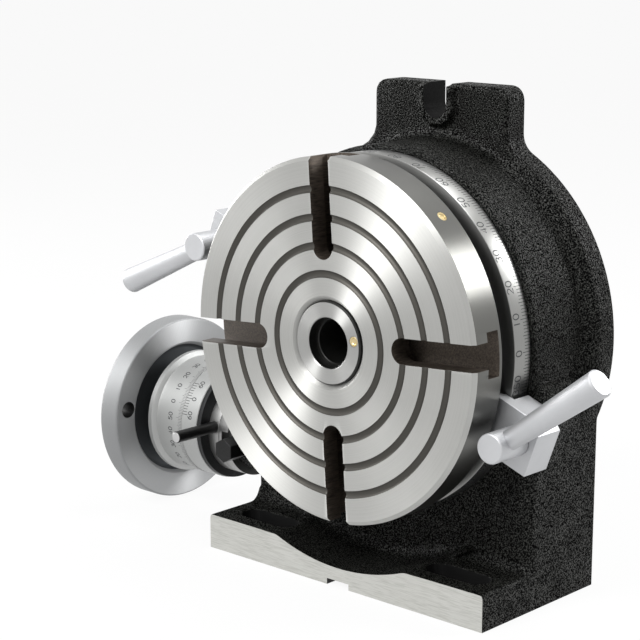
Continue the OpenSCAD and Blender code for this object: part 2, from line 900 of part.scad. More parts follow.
module eccentric_sleeve() {
    bore_r = worm_tip_r + 0.4;
    color([0.70, 0.70, 0.71])
        difference() {
            union() {
                bar_x(worm_y, ecc_z, ecc_r, -backplate_x, tunnel_end_x);
                bar_x(worm_y, ecc_z, collar_r, -backplate_x, -collar_x);
            }
            bar_x(worm_y, worm_z, bore_r, -backplate_x - 1, right_bush_x);
            bar_x(worm_y, worm_z, shaft_r + 1, -backplate_x - 1, tunnel_end_x + 1);
            for (a = [[-10, 80], [80, 170], [170, 260]])
                angle_wedge(a[0], a[1], -sleeve_tube_x, sleeve_tube_x);
            bar_y(-rod_x, ecc_z + rod_rise, rod_d / 2, 0, worm_y - collar_r + 8);
            backplate_places()
                rotate([0, 90, 0])
                    cylinder(d = screw_m3, h = backplate_screw_len - 1, $fn = 24);
        }
}

module sleeve_bush(x0, x1) {
    difference() {
        bar_x(worm_y, worm_z, worm_tip_r + 0.4, x0, x1);
        bar_x(worm_y, worm_z, shaft_r + run_gap, x0 - 1, x1 + 1);
    }
}

module sleeve_bush_left() {
    color([0.72, 0.55, 0.28])
        sleeve_bush(-backplate_x, -bush_left_x);
}

module sleeve_bush_right() {
    color([0.72, 0.55, 0.28])
        sleeve_bush(sleeve_tube_x, right_bush_x);
}

module backplate_places() {
    for (a = [-90, 30, 150])
        translate([-vernier_x, worm_y + backplate_screw_r * cos(a), worm_z + backplate_screw_r * sin(a)])
            children();
}

module dial_backplate() {
    color([0.10, 0.10, 0.11])
        difference() {
            bar_x(worm_y, worm_z, dial_d / 2 - 0.6, -vernier_x, -backplate_x);
            bar_x(worm_y, worm_z, shaft_r + 1, -vernier_x - 1, -backplate_x + 1);
            backplate_places()
                translate([-1, 0, 0])
                    rotate([0, 90, 0])
                        cylinder(d = screw_m3, h = backplate_t + 2, $fn = 24);
        }
}

module backplate_screws() {
    color([0.2, 0.2, 0.21])
        backplate_places()
            rotate([0, 0, -90])
                translate([0, -backplate_head_t, 0])
                    cap_screw(screw_m3, backplate_screw_len, backplate_head_t);
}

module vernier_ring() {
    color([0.80, 0.80, 0.80])
        turned_x(worm_y, worm_z, [
            [vernier_bore_r, vernier_x], [dial_d / 2, vernier_x], [dial_d / 2, vernier_x + vernier_w],
            [vernier_bore_r, vernier_x + vernier_w]]);
}

module engagement_rod() {
    root = worm_y - collar_r + 8;
    color([0.12, 0.12, 0.13])
        translate([-rod_x, worm_y - rod_reach, ecc_z + rod_rise])
            rotate([-90, 0, 0])
                union() {
                    cylinder(d1 = rod_d - 1, d2 = rod_d, h = 0.5, $fn = 48);
                    translate([0, 0, 0.5])
                        cylinder(d = rod_d, h = root - (worm_y - rod_reach) - 0.5, $fn = 48);
                }
}

// The worm's skin is a grid: columns go round, rows follow the thread along X.
// Four rows make one turn of thread, and the closing column meets the first one a turn further on.
thread_steps = 24;
thread_turns = 2 * floor((worm_len / thread_pitch - 2) / 2);
thread_rows = 4 * thread_turns;
thread_at = [0, 0.16, 0.37, 0.53];
thread_start = -(thread_turns / 2 + thread_at[3] / 2) * thread_pitch;
thread_fade = 1.5;
function thread_x(i, q) = thread_start + (floor(q / 4) + thread_at[q % 4] + i / thread_steps) * thread_pitch;
function thread_turn(i, q) = floor(q / 4) + i / thread_steps;
function thread_height(i, q) =
    let (turn = thread_turn(i, q))
    min(1, thread_fade * max(0, min(turn - 0.1, thread_turns - turn - 0.1)));
function thread_r(i, q) =
    (q % 4 == 1 || q % 4 == 2) ? worm_root_r + (worm_tip_r - worm_root_r) * thread_height(i, q) : worm_root_r;
function around(x, r, i) =
    let (a = 90 + i * 360 / thread_steps)
    [x, r * cos(a), r * sin(a)];
function skin(i, q) =
    i < thread_steps ? i * (thread_rows + 1) + q : q + 4;

module worm_blank() {
    n = thread_steps;
    half = worm_len / 2;
    grid = [for (i = [0 : n - 1], q = [0 : thread_rows]) around(thread_x(i, q), thread_r(i, q), i)];
    left = len(grid);
    right = left + n;
    points = concat(grid,
        [for (i = [0 : n - 1]) around(-half, worm_root_r, i)],
        [for (i = [0 : n - 1]) around(half, worm_root_r, i)]);
    sides = [for (i = [0 : n - 1], q = [0 : thread_rows - (i < n - 1 ? 1 : 5)])
        each [[skin(i, q), skin(i, q + 1), skin(i + 1, q)],
            [skin(i, q + 1), skin(i + 1, q + 1), skin(i + 1, q)]]];
    left_skirt = [for (i = [0 : n - 2])
        each [[left + i, skin(i, 0), left + i + 1], [skin(i, 0), skin(i + 1, 0), left + i + 1]]];
    right_skirt = [for (i = [0 : n - 2])
        each [[skin(i, thread_rows), right + i, skin(i + 1, thread_rows)],
            [right + i, right + i + 1, skin(i + 1, thread_rows)]]];
    left_close = concat([[left + n - 1, skin(n - 1, 0), left], [left, skin(n - 1, 0), skin(0, 0)]],
        [for (q = [0 : 3]) [skin(0, q), skin(n - 1, 0), skin(0, q + 1)]]);
    right_close = concat([for (q = [thread_rows - 4 : thread_rows - 1])
            [skin(n - 1, q), skin(n - 1, q + 1), skin(0, thread_rows)]],
        [[skin(n - 1, thread_rows), right + n - 1, skin(0, thread_rows)],
            [right + n - 1, right, skin(0, thread_rows)]]);
    caps = [[for (i = [0 : n - 1]) left + i], [for (i = [n - 1 : -1 : 0]) right + i]];
    polyhedron(points = points,
        faces = concat(sides, left_skirt, right_skirt, left_close, right_close, caps));
}

module worm() {
    color([0.60, 0.60, 0.61])
        difference() {
            translate([0, worm_y, worm_z])
                worm_blank();
            bar_x(worm_y, worm_z, shaft_r, -worm_len, worm_len);
        }
}

module worm_shaft() {
    color([0.66, 0.66, 0.67])
        difference() {
            bar_x(worm_y, worm_z, shaft_r, -wheel_out_x + wheel_hub_sink, tunnel_end_x - 5);
            translate([-wheel_out_x + key_x, worm_y - key_w / 2, worm_z + shaft_r - key_sink])
                cube([key_len, key_w, key_w]);
        }
}

module worm_collar() {
    color([0.5, 0.5, 0.51])
        difference() {
            bar_x(worm_y, worm_z, worm_tip_r - 0.6, -bush_left_x + face_gap, -bush_left_x + worm_collar_w);
            bar_x(worm_y, worm_z, shaft_r, -bush_left_x - 1, -bush_left_x + worm_collar_w + 1);
        }
}

module handwheel() {
    r = wheel_d / 2;
    hub_r = 17;
    hub_in = dial_x + dial_w + 0.4;
    dish_r = 41;
    blend = 3;
    lip_w = 16;
    hub_step = 4;
    color([0.76, 0.77, 0.78])
        difference() {
            turned_x(worm_y, worm_z, concat(
                [[shaft_r, dial_x], [dial_bore_r - run_gap, dial_x], [dial_bore_r - run_gap, hub_in],
                    [hub_r, hub_in], [hub_r, web_x_in]],
                arc(dish_r - blend, web_x_in - blend, blend, 90, 10, 6),
                [[dish_r + 1.5, wheel_x], [r - 1.5, wheel_x]],
                arc(r - 1.5, wheel_x + 1.5, 1.5, -90, 0, 4),
                arc(r - 3, wheel_out_x - 3, 3, 0, 90, 6),
                [[r - lip_w, wheel_out_x], [r - lip_w - blend, wheel_out_x - dish_depth],
                    [hub_r + hub_step, wheel_out_x - dish_depth], [hub_r, wheel_out_x - wheel_hub_sink],
                    [shaft_r, wheel_out_x - wheel_hub_sink]]));
            translate([-wheel_x, worm_y - crank_hole_r * cos(crank_angle),
                    worm_z + crank_hole_r * sin(crank_angle)])
                rotate([0, -90, 0])
                    translate([0, 0, -1])
                        cylinder(d = crank_hole_d, h = wheel_rim_w + 2);
            translate([-wheel_out_x, worm_y - key_w / 2, worm_z])
                cube([key_x + key_len, key_w, shaft_r - key_sink + key_t]);
        }
}

module handwheel_key() {
    color([0.4, 0.4, 0.41])
        translate([-wheel_out_x + key_x, worm_y - key_w / 2, worm_z + shaft_r - key_sink])
            cube([key_len, key_w, key_t]);
}

module handwheel_nut() {
    color([0.35, 0.35, 0.36])
        difference() {
            translate([-wheel_out_x + wheel_hub_sink, worm_y, worm_z])
                rotate([0, -90, 0])
                    cylinder(d = wheel_nut_d, h = wheel_nut_t, $fn = 6);
            bar_x(worm_y, worm_z, shaft_r - 2, -wheel_out_x - wheel_nut_t, -wheel_out_x + wheel_nut_t);
        }
}

module graduated_dial() {
    rim_w = 4;
    inner = dial_x + dial_w;
    color([0.80, 0.80, 0.80])
        difference() {
            turned_x(worm_y, worm_z, [
                [dial_bore_r, dial_x], [dial_d / 2, dial_x], [dial_d / 2, inner - rim_w - 1.5],
                [dial_rim_d / 2, inner - rim_w], [dial_rim_d / 2, inner - 0.8], [dial_rim_d / 2 - 0.8, inner],
                [dial_bore_r, inner]]);
            bar_x(worm_y, worm_z, spring_r + 0.5, -dial_x - spring_front - spring_len, -dial_x + 1);
        }
}

module dial_spring() {
    bore_r = dial_bore_r + 0.5;
    front = dial_x + spring_front;
    color([0.5, 0.5, 0.52])
        turned_x(worm_y, worm_z, [[bore_r, front], [spring_r, front],
            [spring_r, front + spring_len], [bore_r, front + spring_len]]);
}

// The block in its own axes: X outward, Z across, Y toward the body
module clamp_block(side) {
    half = block_w / 2;
    cut_x = 10.5;
    cut_z = 7;
    at_clamp(side)
        difference() {
            union() {
                slab_y(block_front, block_back)
                    polygon([[ring_clear, -half], [block_out, -half], [block_out, half - cut_z],
                        [block_out - cut_x, half], [ring_clear, half]]);
                translate([0, 0, -half])
                    linear_extrude(block_w)
                        polygon([[toe_in, block_front], [ring_clear + 1, block_front],
                            [ring_clear + 1, toe_back], [toe_foot, toe_back],
                            [toe_in, block_front + toe_tip_t]]);
            }
            bar_y(clamp_r, 0, clamp_thread_d / 2 + 0.4, block_front - 1, block_back + 1);
        }
}

module clamp_screw(side, lever_angle) {
    place = clamp_at(side);
    color([0.75, 0.76, 0.77])
        difference() {
            union() {
                translate([place[0], 0, place[1]])
                    turned_y([[0, boss_front], [boss_d / 2 - 0.6, boss_front], [boss_d / 2, boss_front + 0.6],
                        [boss_d / 2, block_front - 0.3], [0, block_front - 0.3]]);
                bar_y(place[0], place[1], clamp_thread_d / 2, block_front - 1, lug_front + lug_len - 2);
            }
            translate([place[0], lever_y, place[1]])
                rotate([0, 90 - lever_angle, 0])
                    cylinder(d = lever_root_d - 3, h = boss_d, $fn = 48);
        }
}

module clamp_lever(side, lever_angle) {
    place = clamp_at(side);
    start = boss_d / 2 - 1.5;
    edge = 1;
    color([0.75, 0.76, 0.77])
        translate([place[0], lever_y, place[1]])
            rotate([0, 90 - lever_angle, 0])
                union() {
                    cylinder(d = lever_root_d - 3, h = start + 3, $fn = 48);
                    difference() {
                        translate([0, 0, start])
                            cylinder(d1 = lever_root_d, d2 = lever_end_d,
                            h = lever_len - start - edge, $fn = 64);
                        rotate([90, 0, 0])
                            cylinder(d = boss_d, h = 2 * lever_end_d, center = true);
                    }
                    translate([0, 0, lever_len - edge])
                        cylinder(d1 = lever_end_d, d2 = lever_end_d - 2 * edge, h = edge, $fn = 64);
                }
}

module right_clamp_block() {
    color([0.75, 0.76, 0.77])
        clamp_block(1);
}

module right_clamp_screw() {
    clamp_screw(1, lever_right_angle);
}

module right_clamp_lever() {
    clamp_lever(1, lever_right_angle);
}

module left_clamp_block() {
    color([0.75, 0.76, 0.77])
        clamp_block(-1);
}

module left_clamp_screw() {
    clamp_screw(-1, lever_left_angle);
}

module left_clamp_lever() {
    clamp_lever(-1, lever_left_angle);
}

base_casting();
rear_cover();
rear_cover_screws();
spindle_bush();
thrust_washer();
index_collar();
index_collar_screws();
lock_screw();
rotary_table();
graduated_ring();
centre_sleeve();
sleeve_oiler();
rim_oiler();
worm_wheel();
worm_wheel_screws();
spindle_nut();
spindle_nut_screws();
eccentric_sleeve();
sleeve_bush_left();
sleeve_bush_right();
dial_backplate();
backplate_screws();
vernier_ring();
engagement_rod();
worm_shaft();
worm();
worm_collar();
handwheel();
handwheel_key();
handwheel_nut();
graduated_dial();
dial_spring();
right_clamp_block();
right_clamp_screw();
right_clamp_lever();
left_clamp_block();
left_clamp_screw();
left_clamp_lever();
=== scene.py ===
# %% [markdown]
# # A rotary table, dressed for its picture
# The machine part comes in as a frame of CAD pieces that must not move. Each piece that shows is
# rebuilt here at the same place with rounder curves, broken edges and a finish that belongs to how
# the real piece was made: cast, turned, milled, plated or blackened.

import math

import bmesh
import bpy
from mathutils import Matrix, Vector


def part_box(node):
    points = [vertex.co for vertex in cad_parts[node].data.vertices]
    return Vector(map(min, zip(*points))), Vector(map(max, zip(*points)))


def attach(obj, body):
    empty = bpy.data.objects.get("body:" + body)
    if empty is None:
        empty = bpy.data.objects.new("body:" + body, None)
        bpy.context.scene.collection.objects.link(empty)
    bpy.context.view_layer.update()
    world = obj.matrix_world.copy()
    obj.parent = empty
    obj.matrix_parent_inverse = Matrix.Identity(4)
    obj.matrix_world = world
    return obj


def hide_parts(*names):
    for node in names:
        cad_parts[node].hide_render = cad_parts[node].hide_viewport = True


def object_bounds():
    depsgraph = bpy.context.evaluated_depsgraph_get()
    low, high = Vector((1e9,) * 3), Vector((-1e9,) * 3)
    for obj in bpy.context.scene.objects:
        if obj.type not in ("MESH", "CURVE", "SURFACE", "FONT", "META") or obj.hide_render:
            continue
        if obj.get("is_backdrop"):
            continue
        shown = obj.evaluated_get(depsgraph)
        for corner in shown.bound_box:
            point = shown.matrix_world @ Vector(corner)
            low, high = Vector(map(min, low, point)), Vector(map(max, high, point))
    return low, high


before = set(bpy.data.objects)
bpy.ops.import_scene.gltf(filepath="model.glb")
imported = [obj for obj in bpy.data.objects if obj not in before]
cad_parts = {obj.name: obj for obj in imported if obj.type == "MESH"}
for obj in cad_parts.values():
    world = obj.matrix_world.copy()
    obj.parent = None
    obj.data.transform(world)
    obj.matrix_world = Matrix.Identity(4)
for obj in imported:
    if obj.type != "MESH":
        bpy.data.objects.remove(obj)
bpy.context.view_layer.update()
MM = 0.001
print("pieces in the frame:", len(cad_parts))


def size_of(node):
    """Lowest and highest corner of a CAD piece, in millimetres."""
    low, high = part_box(node)
    return low / MM, high / MM


# %% [markdown]
# ## The camera
# A long lens, about a metre from the face, looks down a little and from the right. The lens axis is
# not in the picture's middle, so a small shift moves the picture instead of turning the camera.

# %% Camera
PICTURE = 640
CAMERA_AZIMUTH, CAMERA_HEIGHT, CAMERA_DISTANCE = math.radians(42.542), math.radians(12.93), 1.0047
FOCAL_PIXELS = 1881
AXIS_PIXEL = (327.5, 343.4)

back = Vector((math.sin(CAMERA_AZIMUTH) * math.cos(CAMERA_HEIGHT),
               -math.cos(CAMERA_AZIMUTH) * math.cos(CAMERA_HEIGHT), math.sin(CAMERA_HEIGHT)))
camera = bpy.data.objects.new("camera", bpy.data.cameras.new("camera"))
bpy.context.scene.collection.objects.link(camera)
bpy.context.scene.camera = camera
camera.data.sensor_width = 36
camera.data.lens = FOCAL_PIXELS * 36 / PICTURE
camera.data.shift_x = (PICTURE / 2 - AXIS_PIXEL[0]) / PICTURE
camera.data.shift_y = (AXIS_PIXEL[1] - PICTURE / 2) / PICTURE
camera.location = back * CAMERA_DISTANCE
camera.rotation_mode = "QUATERNION"
camera.rotation_quaternion = (-back).to_track_quat("-Z", "Y")
print(f"lens {camera.data.lens:.1f} mm, shift {camera.data.shift_x:.4f} {camera.data.shift_y:.4f}")

# %% [markdown]
# ## Colours and nodes
# Colours are written as hex values, as a colour picker shows them. Shaders work with linear light,
# so one function converts them. A second small function adds a node: plain values go to its
# settings and sockets, and another node's output makes a link.

# %% Colour and node helpers
def linear(code):
    """sRGB hex to linear RGBA."""
    parts = [int(code[i:i + 2], 16) / 255 for i in (1, 3, 5)]
    return [p / 12.92 if p <= 0.04045 else ((p + 0.055) / 1.055) ** 2.4 for p in parts] + [1.0]


def add(tree, kind, inputs=None, **settings):
    """Adds a node. Inputs are sockets by name or number, each with a value or an output to link."""
    node = tree.nodes.new("ShaderNode" + kind)
    for name, value in settings.items():
        setattr(node, name, value)
    for name, value in (inputs or {}).items():
        if isinstance(value, bpy.types.NodeSocket):
            tree.links.new(value, node.inputs[name])
        else:
            node.inputs[name].default_value = value
    return node


def start(name):
    """A new material: its tree, its Principled shader and its coordinates in the piece's own space."""
    material = bpy.data.materials.new(name)
    material.use_nodes = True
    tree = material.node_tree
    shader = tree.nodes["Principled BSDF"]
    place = add(tree, "TexCoord").outputs["Object"]
    return material, tree, shader, place


def per_mm(period_mm):
    """Texture scale whose features repeat about once in this many millimetres."""
    return 1 / (period_mm * MM)


def spread(tree, value, low, high):
    """Maps a 0 to 1 value onto low to high."""
    return add(tree, "MapRange", {"Value": value, "To Min": low, "To Max": high}).outputs["Result"]


def noise(tree, place, period_mm, detail=2.0):
    """Even noise with features of about this size."""
    sockets = {"Vector": place, "Scale": per_mm(period_mm), "Detail": detail}
    return add(tree, "TexNoise", sockets).outputs["Fac"]


def mix(tree, share, first, second):
    """Colour between two hex codes or outputs."""
    first, second = (linear(c) if isinstance(c, str) else c for c in (first, second))
    return add(tree, "Mix", {0: share, 6: first, 7: second}, data_type="RGBA").outputs[2]


def bump(tree, height, strength, depth_mm, under=None):
    """Bump from a 0 to 1 height, whose full rise is a depth in millimetres."""
    inputs = {"Height": height, "Strength": strength, "Distance": depth_mm * MM}
    if under is not None:
        inputs["Normal"] = under
    return add(tree, "Bump", inputs).outputs["Normal"]


# %% [markdown]
# ## Black textured enamel on cast iron
# The casting is grey iron, sand cast, filled and sprayed with a black textured enamel. The eye sees
# a black coat whose grains, about 0.75 mm wide, catch the light one by one, with black pits between
# them. A dielectric shader with an IOR of 1.5 gives the sheen. The pits shade each other, which a
# bump can't do, so the specular level falls to almost nothing in them and the grains' tips are paler.

# %% Enamelled casting
GRAIN_MM = 0.75


def enamel_on_iron():
    material, tree, shader, place = start("black textured enamel on cast iron")
    grain = noise(tree, place, GRAIN_MM, 2.0)
    worn = noise(tree, place, 14, 3.0)
    lumps = noise(tree, place, 7, 2.0)
    tips = add(tree, "MapRange", {"Value": grain, "From Min": 0.45, "From Max": 0.68}).outputs["Result"]
    tips = add(tree, "Math", {0: tips, 1: spread(tree, worn, 0.4, 1.1)}, operation="MULTIPLY").outputs[0]
    colour = mix(tree, tips, "#050505", "#343531")
    tree.links.new(colour, shader.inputs["Base Color"])
    tree.links.new(spread(tree, tips, 0.6, 0.24), shader.inputs["Roughness"])
    shader.inputs["IOR"].default_value = 1.5
    tree.links.new(spread(tree, tips, 0.0, 0.5), shader.inputs["Specular IOR Level"])
    low = bump(tree, lumps, 0.5, 0.6)
    tree.links.new(bump(tree, grain, 1.0, 0.45, low), shader.inputs["Normal"])
    return material


ENAMEL = enamel_on_iron()
print("made", ENAMEL.name)

# %% [markdown]
# ## Milled iron
# The foot's front and the faces that bolt down are milled after painting, so they are bare, light
# grey and faintly streaked along the cutter's travel, which is X here. Bare iron is a metal with a
# dull lustre. The streaks are noise that is stretched about 17 times along X.

# %% Milled iron
def milled_iron():
    material, tree, shader, place = start("milled grey iron")
    stretched = add(tree, "Mapping", {"Vector": place, "Scale": (0.06, 1, 1)}).outputs["Vector"]
    streaks = noise(tree, stretched, 0.45, 3.0)
    clouds = noise(tree, place, 25, 2.0)
    colour = mix(tree, spread(tree, clouds, 0.2, 0.8), "#bcbcb7", "#c8c8c4")
    cut_marks = add(tree, "MapRange",
                    {"Value": streaks, "From Min": 0.42, "From Max": 0.68}).outputs["Result"]
    tree.links.new(mix(tree, cut_marks, colour, "#b0b0ab"), shader.inputs["Base Color"])
    shader.inputs["Metallic"].default_value = 0.85
    tree.links.new(spread(tree, streaks, 0.38, 0.58), shader.inputs["Roughness"])
    tree.links.new(bump(tree, streaks, 0.3, 0.03), shader.inputs["Normal"])
    return material


MILLED = milled_iron()
print("made", MILLED.name)

# %% [markdown]
# ## Turned steel and iron
# A lathe leaves fine rings about the axis. They spread a highlight across the rings and not along
# them, so the face shows bright fans that meet at the centre. Anisotropy does that, with a tangent
# that runs round the axis. Real feed marks are 0.1 to 0.2 mm apart, too fine to show here, so rings
# of 0.5 mm stand in for them.

# %% Turned metal
def turned(name, axis, base, rough, stretch, ring_mm=0.5, ring_strength=0.12):
    """Turned metal about X or Y. Rings vary its colour and roughness."""
    material, tree, shader, place = start(name)
    split = add(tree, "SeparateXYZ", {"Vector": place})
    across = {"Y": ("X", "Z"), "X": ("Y", "Z")}[axis]
    flat = add(tree, "CombineXYZ", {0: split.outputs[across[0]], 1: split.outputs[across[1]]})
    radius = add(tree, "VectorMath", {0: flat.outputs[0]}, operation="LENGTH").outputs["Value"]
    along = add(tree, "Math", {0: radius, 1: split.outputs[axis]}, operation="ADD").outputs[0]
    rings = add(tree, "TexNoise", {"W": along, "Scale": per_mm(ring_mm), "Detail": 3.0},
                noise_dimensions="1D").outputs["Fac"]
    clouds = noise(tree, place, 30, 2.0)
    dull = mix(tree, 0.35, base, "#5c5c5a")
    tone = add(tree, "Math", {0: rings, 1: clouds}, operation="MULTIPLY").outputs[0]
    tree.links.new(mix(tree, tone, base, dull), shader.inputs["Base Color"])
    shader.inputs["Metallic"].default_value = 1.0
    tree.links.new(spread(tree, rings, rough * 0.85, rough * 1.15), shader.inputs["Roughness"])
    shader.inputs["Anisotropic"].default_value = stretch
    shader.inputs["Anisotropic Rotation"].default_value = 0.25
    tangent = add(tree, "Tangent", direction_type="RADIAL", axis=axis).outputs["Tangent"]
    tree.links.new(tangent, shader.inputs["Tangent"])
    tree.links.new(bump(tree, rings, ring_strength, 0.02), shader.inputs["Normal"])
    return material


TURNED_FACE = turned("turned iron face", "Y", "#c4c4c1", 0.52, 0.9)
# Painted dark reflection: the rim is a darker copy of the turned iron, standing in for the dark surroundings
# it mirrors.
RIM_DARK_REFLECTION = turned("turned iron rim, darker as painted dark reflection", "Y", "#6c6c69", 0.3, 0.4, 0.5, 0.03)
# Painted shade: the grooves are a darker copy of the turned iron, standing in for the shade in them.
GROOVE_SHADE = turned("turned groove, darker as painted shade", "Y", "#4e4c48", 0.5, 0.4)
TURNED_RING = turned("fine turned steel ring", "Y", "#949492", 0.32, 0.4)
GROUND_SLEEVE = turned("ground steel sleeve", "Y", "#b6b6b4", 0.45, 0.93, 0.3)
HANDWHEEL_STEEL = turned("turned and satin chromed steel", "X", "#b3b4b5", 0.5, 0.9)
# Painted shade: the recess round the dial is a darker copy of the wheel's steel, standing in for the shade
# and dark reflections in it.
WHEEL_RECESS_SHADE = turned("turned recess, darker as painted shade", "X", "#54575a", 0.5, 0.4)
# Painted shade: the outer edge is a darker copy of the wheel's steel, so the key lamp's highlight there
# doesn't burn out.
WHEEL_EDGE_SHADED = turned("satin chromed outer edge, darker as painted shade", "X", "#9c9d9e", 0.62, 0.5)
DIAL_CHROME = turned("satin chromed brass dial", "X", "#b4b5b4", 0.55, 0.3, 0.4, 0.06)
TURNED_COLLAR = turned("turned steel collar", "X", "#a3a3a2", 0.4, 0.5)
print("made ten turned finishes")

# %% [markdown]
# ## Satin chrome
# The clamps and their levers are machined steel, blasted and chromed. The plate is smooth, but the
# blasted ground under it breaks up every reflection, so it reads as an even pale grey.

# %% Satin chrome
def satin_chrome():
    material, tree, shader, place = start("satin chrome on blasted steel")
    blast = noise(tree, place, 0.5, 2.0)
    tree.links.new(mix(tree, spread(tree, noise(tree, place, 18), 0, 1), "#b4b5b7", "#c3c4c6"),
                   shader.inputs["Base Color"])
    shader.inputs["Metallic"].default_value = 0.9
    tree.links.new(spread(tree, blast, 0.46, 0.58), shader.inputs["Roughness"])
    tree.links.new(bump(tree, blast, 0.15, 0.02), shader.inputs["Normal"])
    return material


SATIN = satin_chrome()
print("made", SATIN.name)

# %% [markdown]
# ## Blackened steel, oiled slots and soft metals
# Screws, the lever rod and the plate behind the dial are chemically blackened and oiled: almost
# black, with a soft shine. The T slots are milled and then left to the oil, which turns them brown
# with streaks along the cutter's path. Bushes are cast bronze and the ball oilers are bright brass.

# %% Dark and coloured metals
def blackened(name, low, high, rough, metallic=0.6):
    material, tree, shader, place = start(name)
    fine = noise(tree, place, 1.2, 4.0)
    tree.links.new(mix(tree, fine, low, high), shader.inputs["Base Color"])
    shader.inputs["Metallic"].default_value = metallic
    tree.links.new(spread(tree, fine, rough * 0.8, rough * 1.25), shader.inputs["Roughness"])
    tree.links.new(bump(tree, fine, 0.12, 0.03), shader.inputs["Normal"])
    return material


def oiled_slot():
    material, tree, shader, place = start("milled and oiled slot")
    stretched = add(tree, "Mapping", {"Vector": place, "Scale": (1, 0.12, 1)}).outputs["Vector"]
    streaks = noise(tree, stretched, 0.7, 3.0)
    tree.links.new(mix(tree, spread(tree, streaks, -0.5, 1.5), "#2b2622", "#5e554c"),
                   shader.inputs["Base Color"])
    shader.inputs["Metallic"].default_value = 0.7
    tree.links.new(spread(tree, streaks, 0.38, 0.6), shader.inputs["Roughness"])
    tree.links.new(bump(tree, streaks, 0.5, 0.08), shader.inputs["Normal"])
    return material


def coloured(name, low, high, rough):
    material, tree, shader, place = start(name)
    tree.links.new(mix(tree, noise(tree, place, 4, 3.0), low, high), shader.inputs["Base Color"])
    shader.inputs["Metallic"].default_value = 1.0
    tree.links.new(spread(tree, noise(tree, place, 0.6), rough * 0.8, rough * 1.2),
                   shader.inputs["Roughness"])
    return material


BLACK_STEEL = blackened("black oxide steel", "#101010", "#242424", 0.4)
BLACK_GROOVE = blackened("oiled black groove", "#070707", "#121212", 0.3, 0.2)
# Black paint in the cast slots. Its sheen is cut almost to nothing on the next line so the slots read dark, a
# painted shade inside them.
SLOT_PAINT_AND_SHADE = blackened("black paint in cut slots, near sheenless as painted shade", "#050505", "#0e0e0e", 0.75, 0.0)
SLOT_PAINT_AND_SHADE.node_tree.nodes["Principled BSDF"].inputs["Specular IOR Level"].default_value = 0.1
# Painted shade: the taper bore is near black, standing in for the dark inside the deep hole.
BORE = blackened("taper bore, near black as painted shade", "#141413", "#2b2b29", 0.35)
BLACK_PLATE = blackened("blackened dial plate", "#1c1d1e", "#303132", 0.45)
SLOT = oiled_slot()
BRONZE = coloured("cast bronze", "#9a7440", "#b58d50", 0.4)
BRASS = coloured("bright brass", "#a98a4c", "#eadfb8", 0.35)
PLAIN_STEEL = coloured("plain ground steel", "#b4b4b4", "#cacaca", 0.32)
FILLED = blackened("black paint in engraved lines", "#1c1d1f", "#303134", 0.6, 0.0)
print("made ten dark and coloured finishes")

# %% [markdown]
# ## Mesh helpers
# Round pieces are outlines turned about an axis. Others start as a copy of the CAD mesh, whose flat
# faces are joined up first. Every real edge is broken a little, and a narrow bevel with smooth
# normals does that: it is what draws the thin bright line along a machined corner.

# %% Mesh helpers
SEGMENTS = 192


def new_piece(name, mesh, *materials):
    piece = bpy.data.objects.new(name, mesh)
    bpy.context.scene.collection.objects.link(piece)
    for material in materials:
        mesh.materials.append(material)
    return piece


def settle(piece, sharp=40):
    """Turns the piece's modifiers into plain mesh, smooth apart from its sharp edges."""
    seen = piece.evaluated_get(bpy.context.evaluated_depsgraph_get())
    mesh = bpy.data.meshes.new_from_object(seen)
    old = piece.data
    piece.modifiers.clear()
    piece.data = mesh
    bpy.data.meshes.remove(old)
    mesh.polygons.foreach_set("use_smooth", [True] * len(mesh.polygons))
    mesh.set_sharp_from_angle(angle=math.radians(sharp))
    return piece


def bevel(piece, width_mm, segments=3, angle=32):
    step = piece.modifiers.new("edge", "BEVEL")
    step.width = width_mm * MM
    step.segments = segments
    step.limit_method = "ANGLE"
    step.angle_limit = math.radians(angle)
    step.use_clamp_overlap = True


def cut(piece, cutter):
    """Cuts the piece with another and removes the cutter. New faces keep the cutter's material."""
    step = piece.modifiers.new("cut", "BOOLEAN")
    step.operation = "DIFFERENCE"
    step.solver = "EXACT"
    step.object = cutter
    step.material_mode = "TRANSFER"
    settle(piece)
    bpy.data.objects.remove(cutter)


def turn_about(points, axis, centre=(0, 0, 0), segments=SEGMENTS):
    """Mesh of an outline of [radius, distance along the axis] in mm, turned about X or Y through centre."""
    bm = bmesh.new()
    rows = []
    for step in range(segments):
        angle = 2 * math.pi * step / segments
        c, s = math.cos(angle), math.sin(angle)
        row = []
        for r, d in points:
            spot = (r * c, d, r * s) if axis == "Y" else (d, r * c, r * s)
            row.append(bm.verts.new([(a + b) * MM for a, b in zip(spot, centre)]))
        rows.append(row)
    count = len(points)
    for step in range(segments):
        here, there = rows[step], rows[(step + 1) % segments]
        for k in range(count):
            bm.faces.new((here[k], here[(k + 1) % count], there[(k + 1) % count], there[k]))
    bmesh.ops.remove_doubles(bm, verts=bm.verts, dist=1e-7)
    bmesh.ops.dissolve_degenerate(bm, edges=bm.edges, dist=1e-8)
    bmesh.ops.recalc_face_normals(bm, faces=bm.faces)
    mesh = bpy.data.meshes.new("turned")
    bm.to_mesh(mesh)
    bm.free()
    return mesh


def prism(outline, low, high, turn=Matrix.Identity(4)):
    """Mesh of an outline of [x, z] in mm, pushed along Y from low to high, then moved by a matrix in mm."""
    bm = bmesh.new()
    front = [bm.verts.new(turn @ Vector((x, low, z)) * MM) for x, z in outline]
    rear = [bm.verts.new(turn @ Vector((x, high, z)) * MM) for x, z in outline]
    bm.faces.new(front)
    bm.faces.new(rear[::-1])
    for k in range(len(outline)):
        n = (k + 1) % len(outline)
        bm.faces.new((front[k], rear[k], rear[n], front[n]))
    bmesh.ops.recalc_face_normals(bm, faces=bm.faces)
    mesh = bpy.data.meshes.new("prism")
    bm.to_mesh(mesh)
    bm.free()
    return mesh


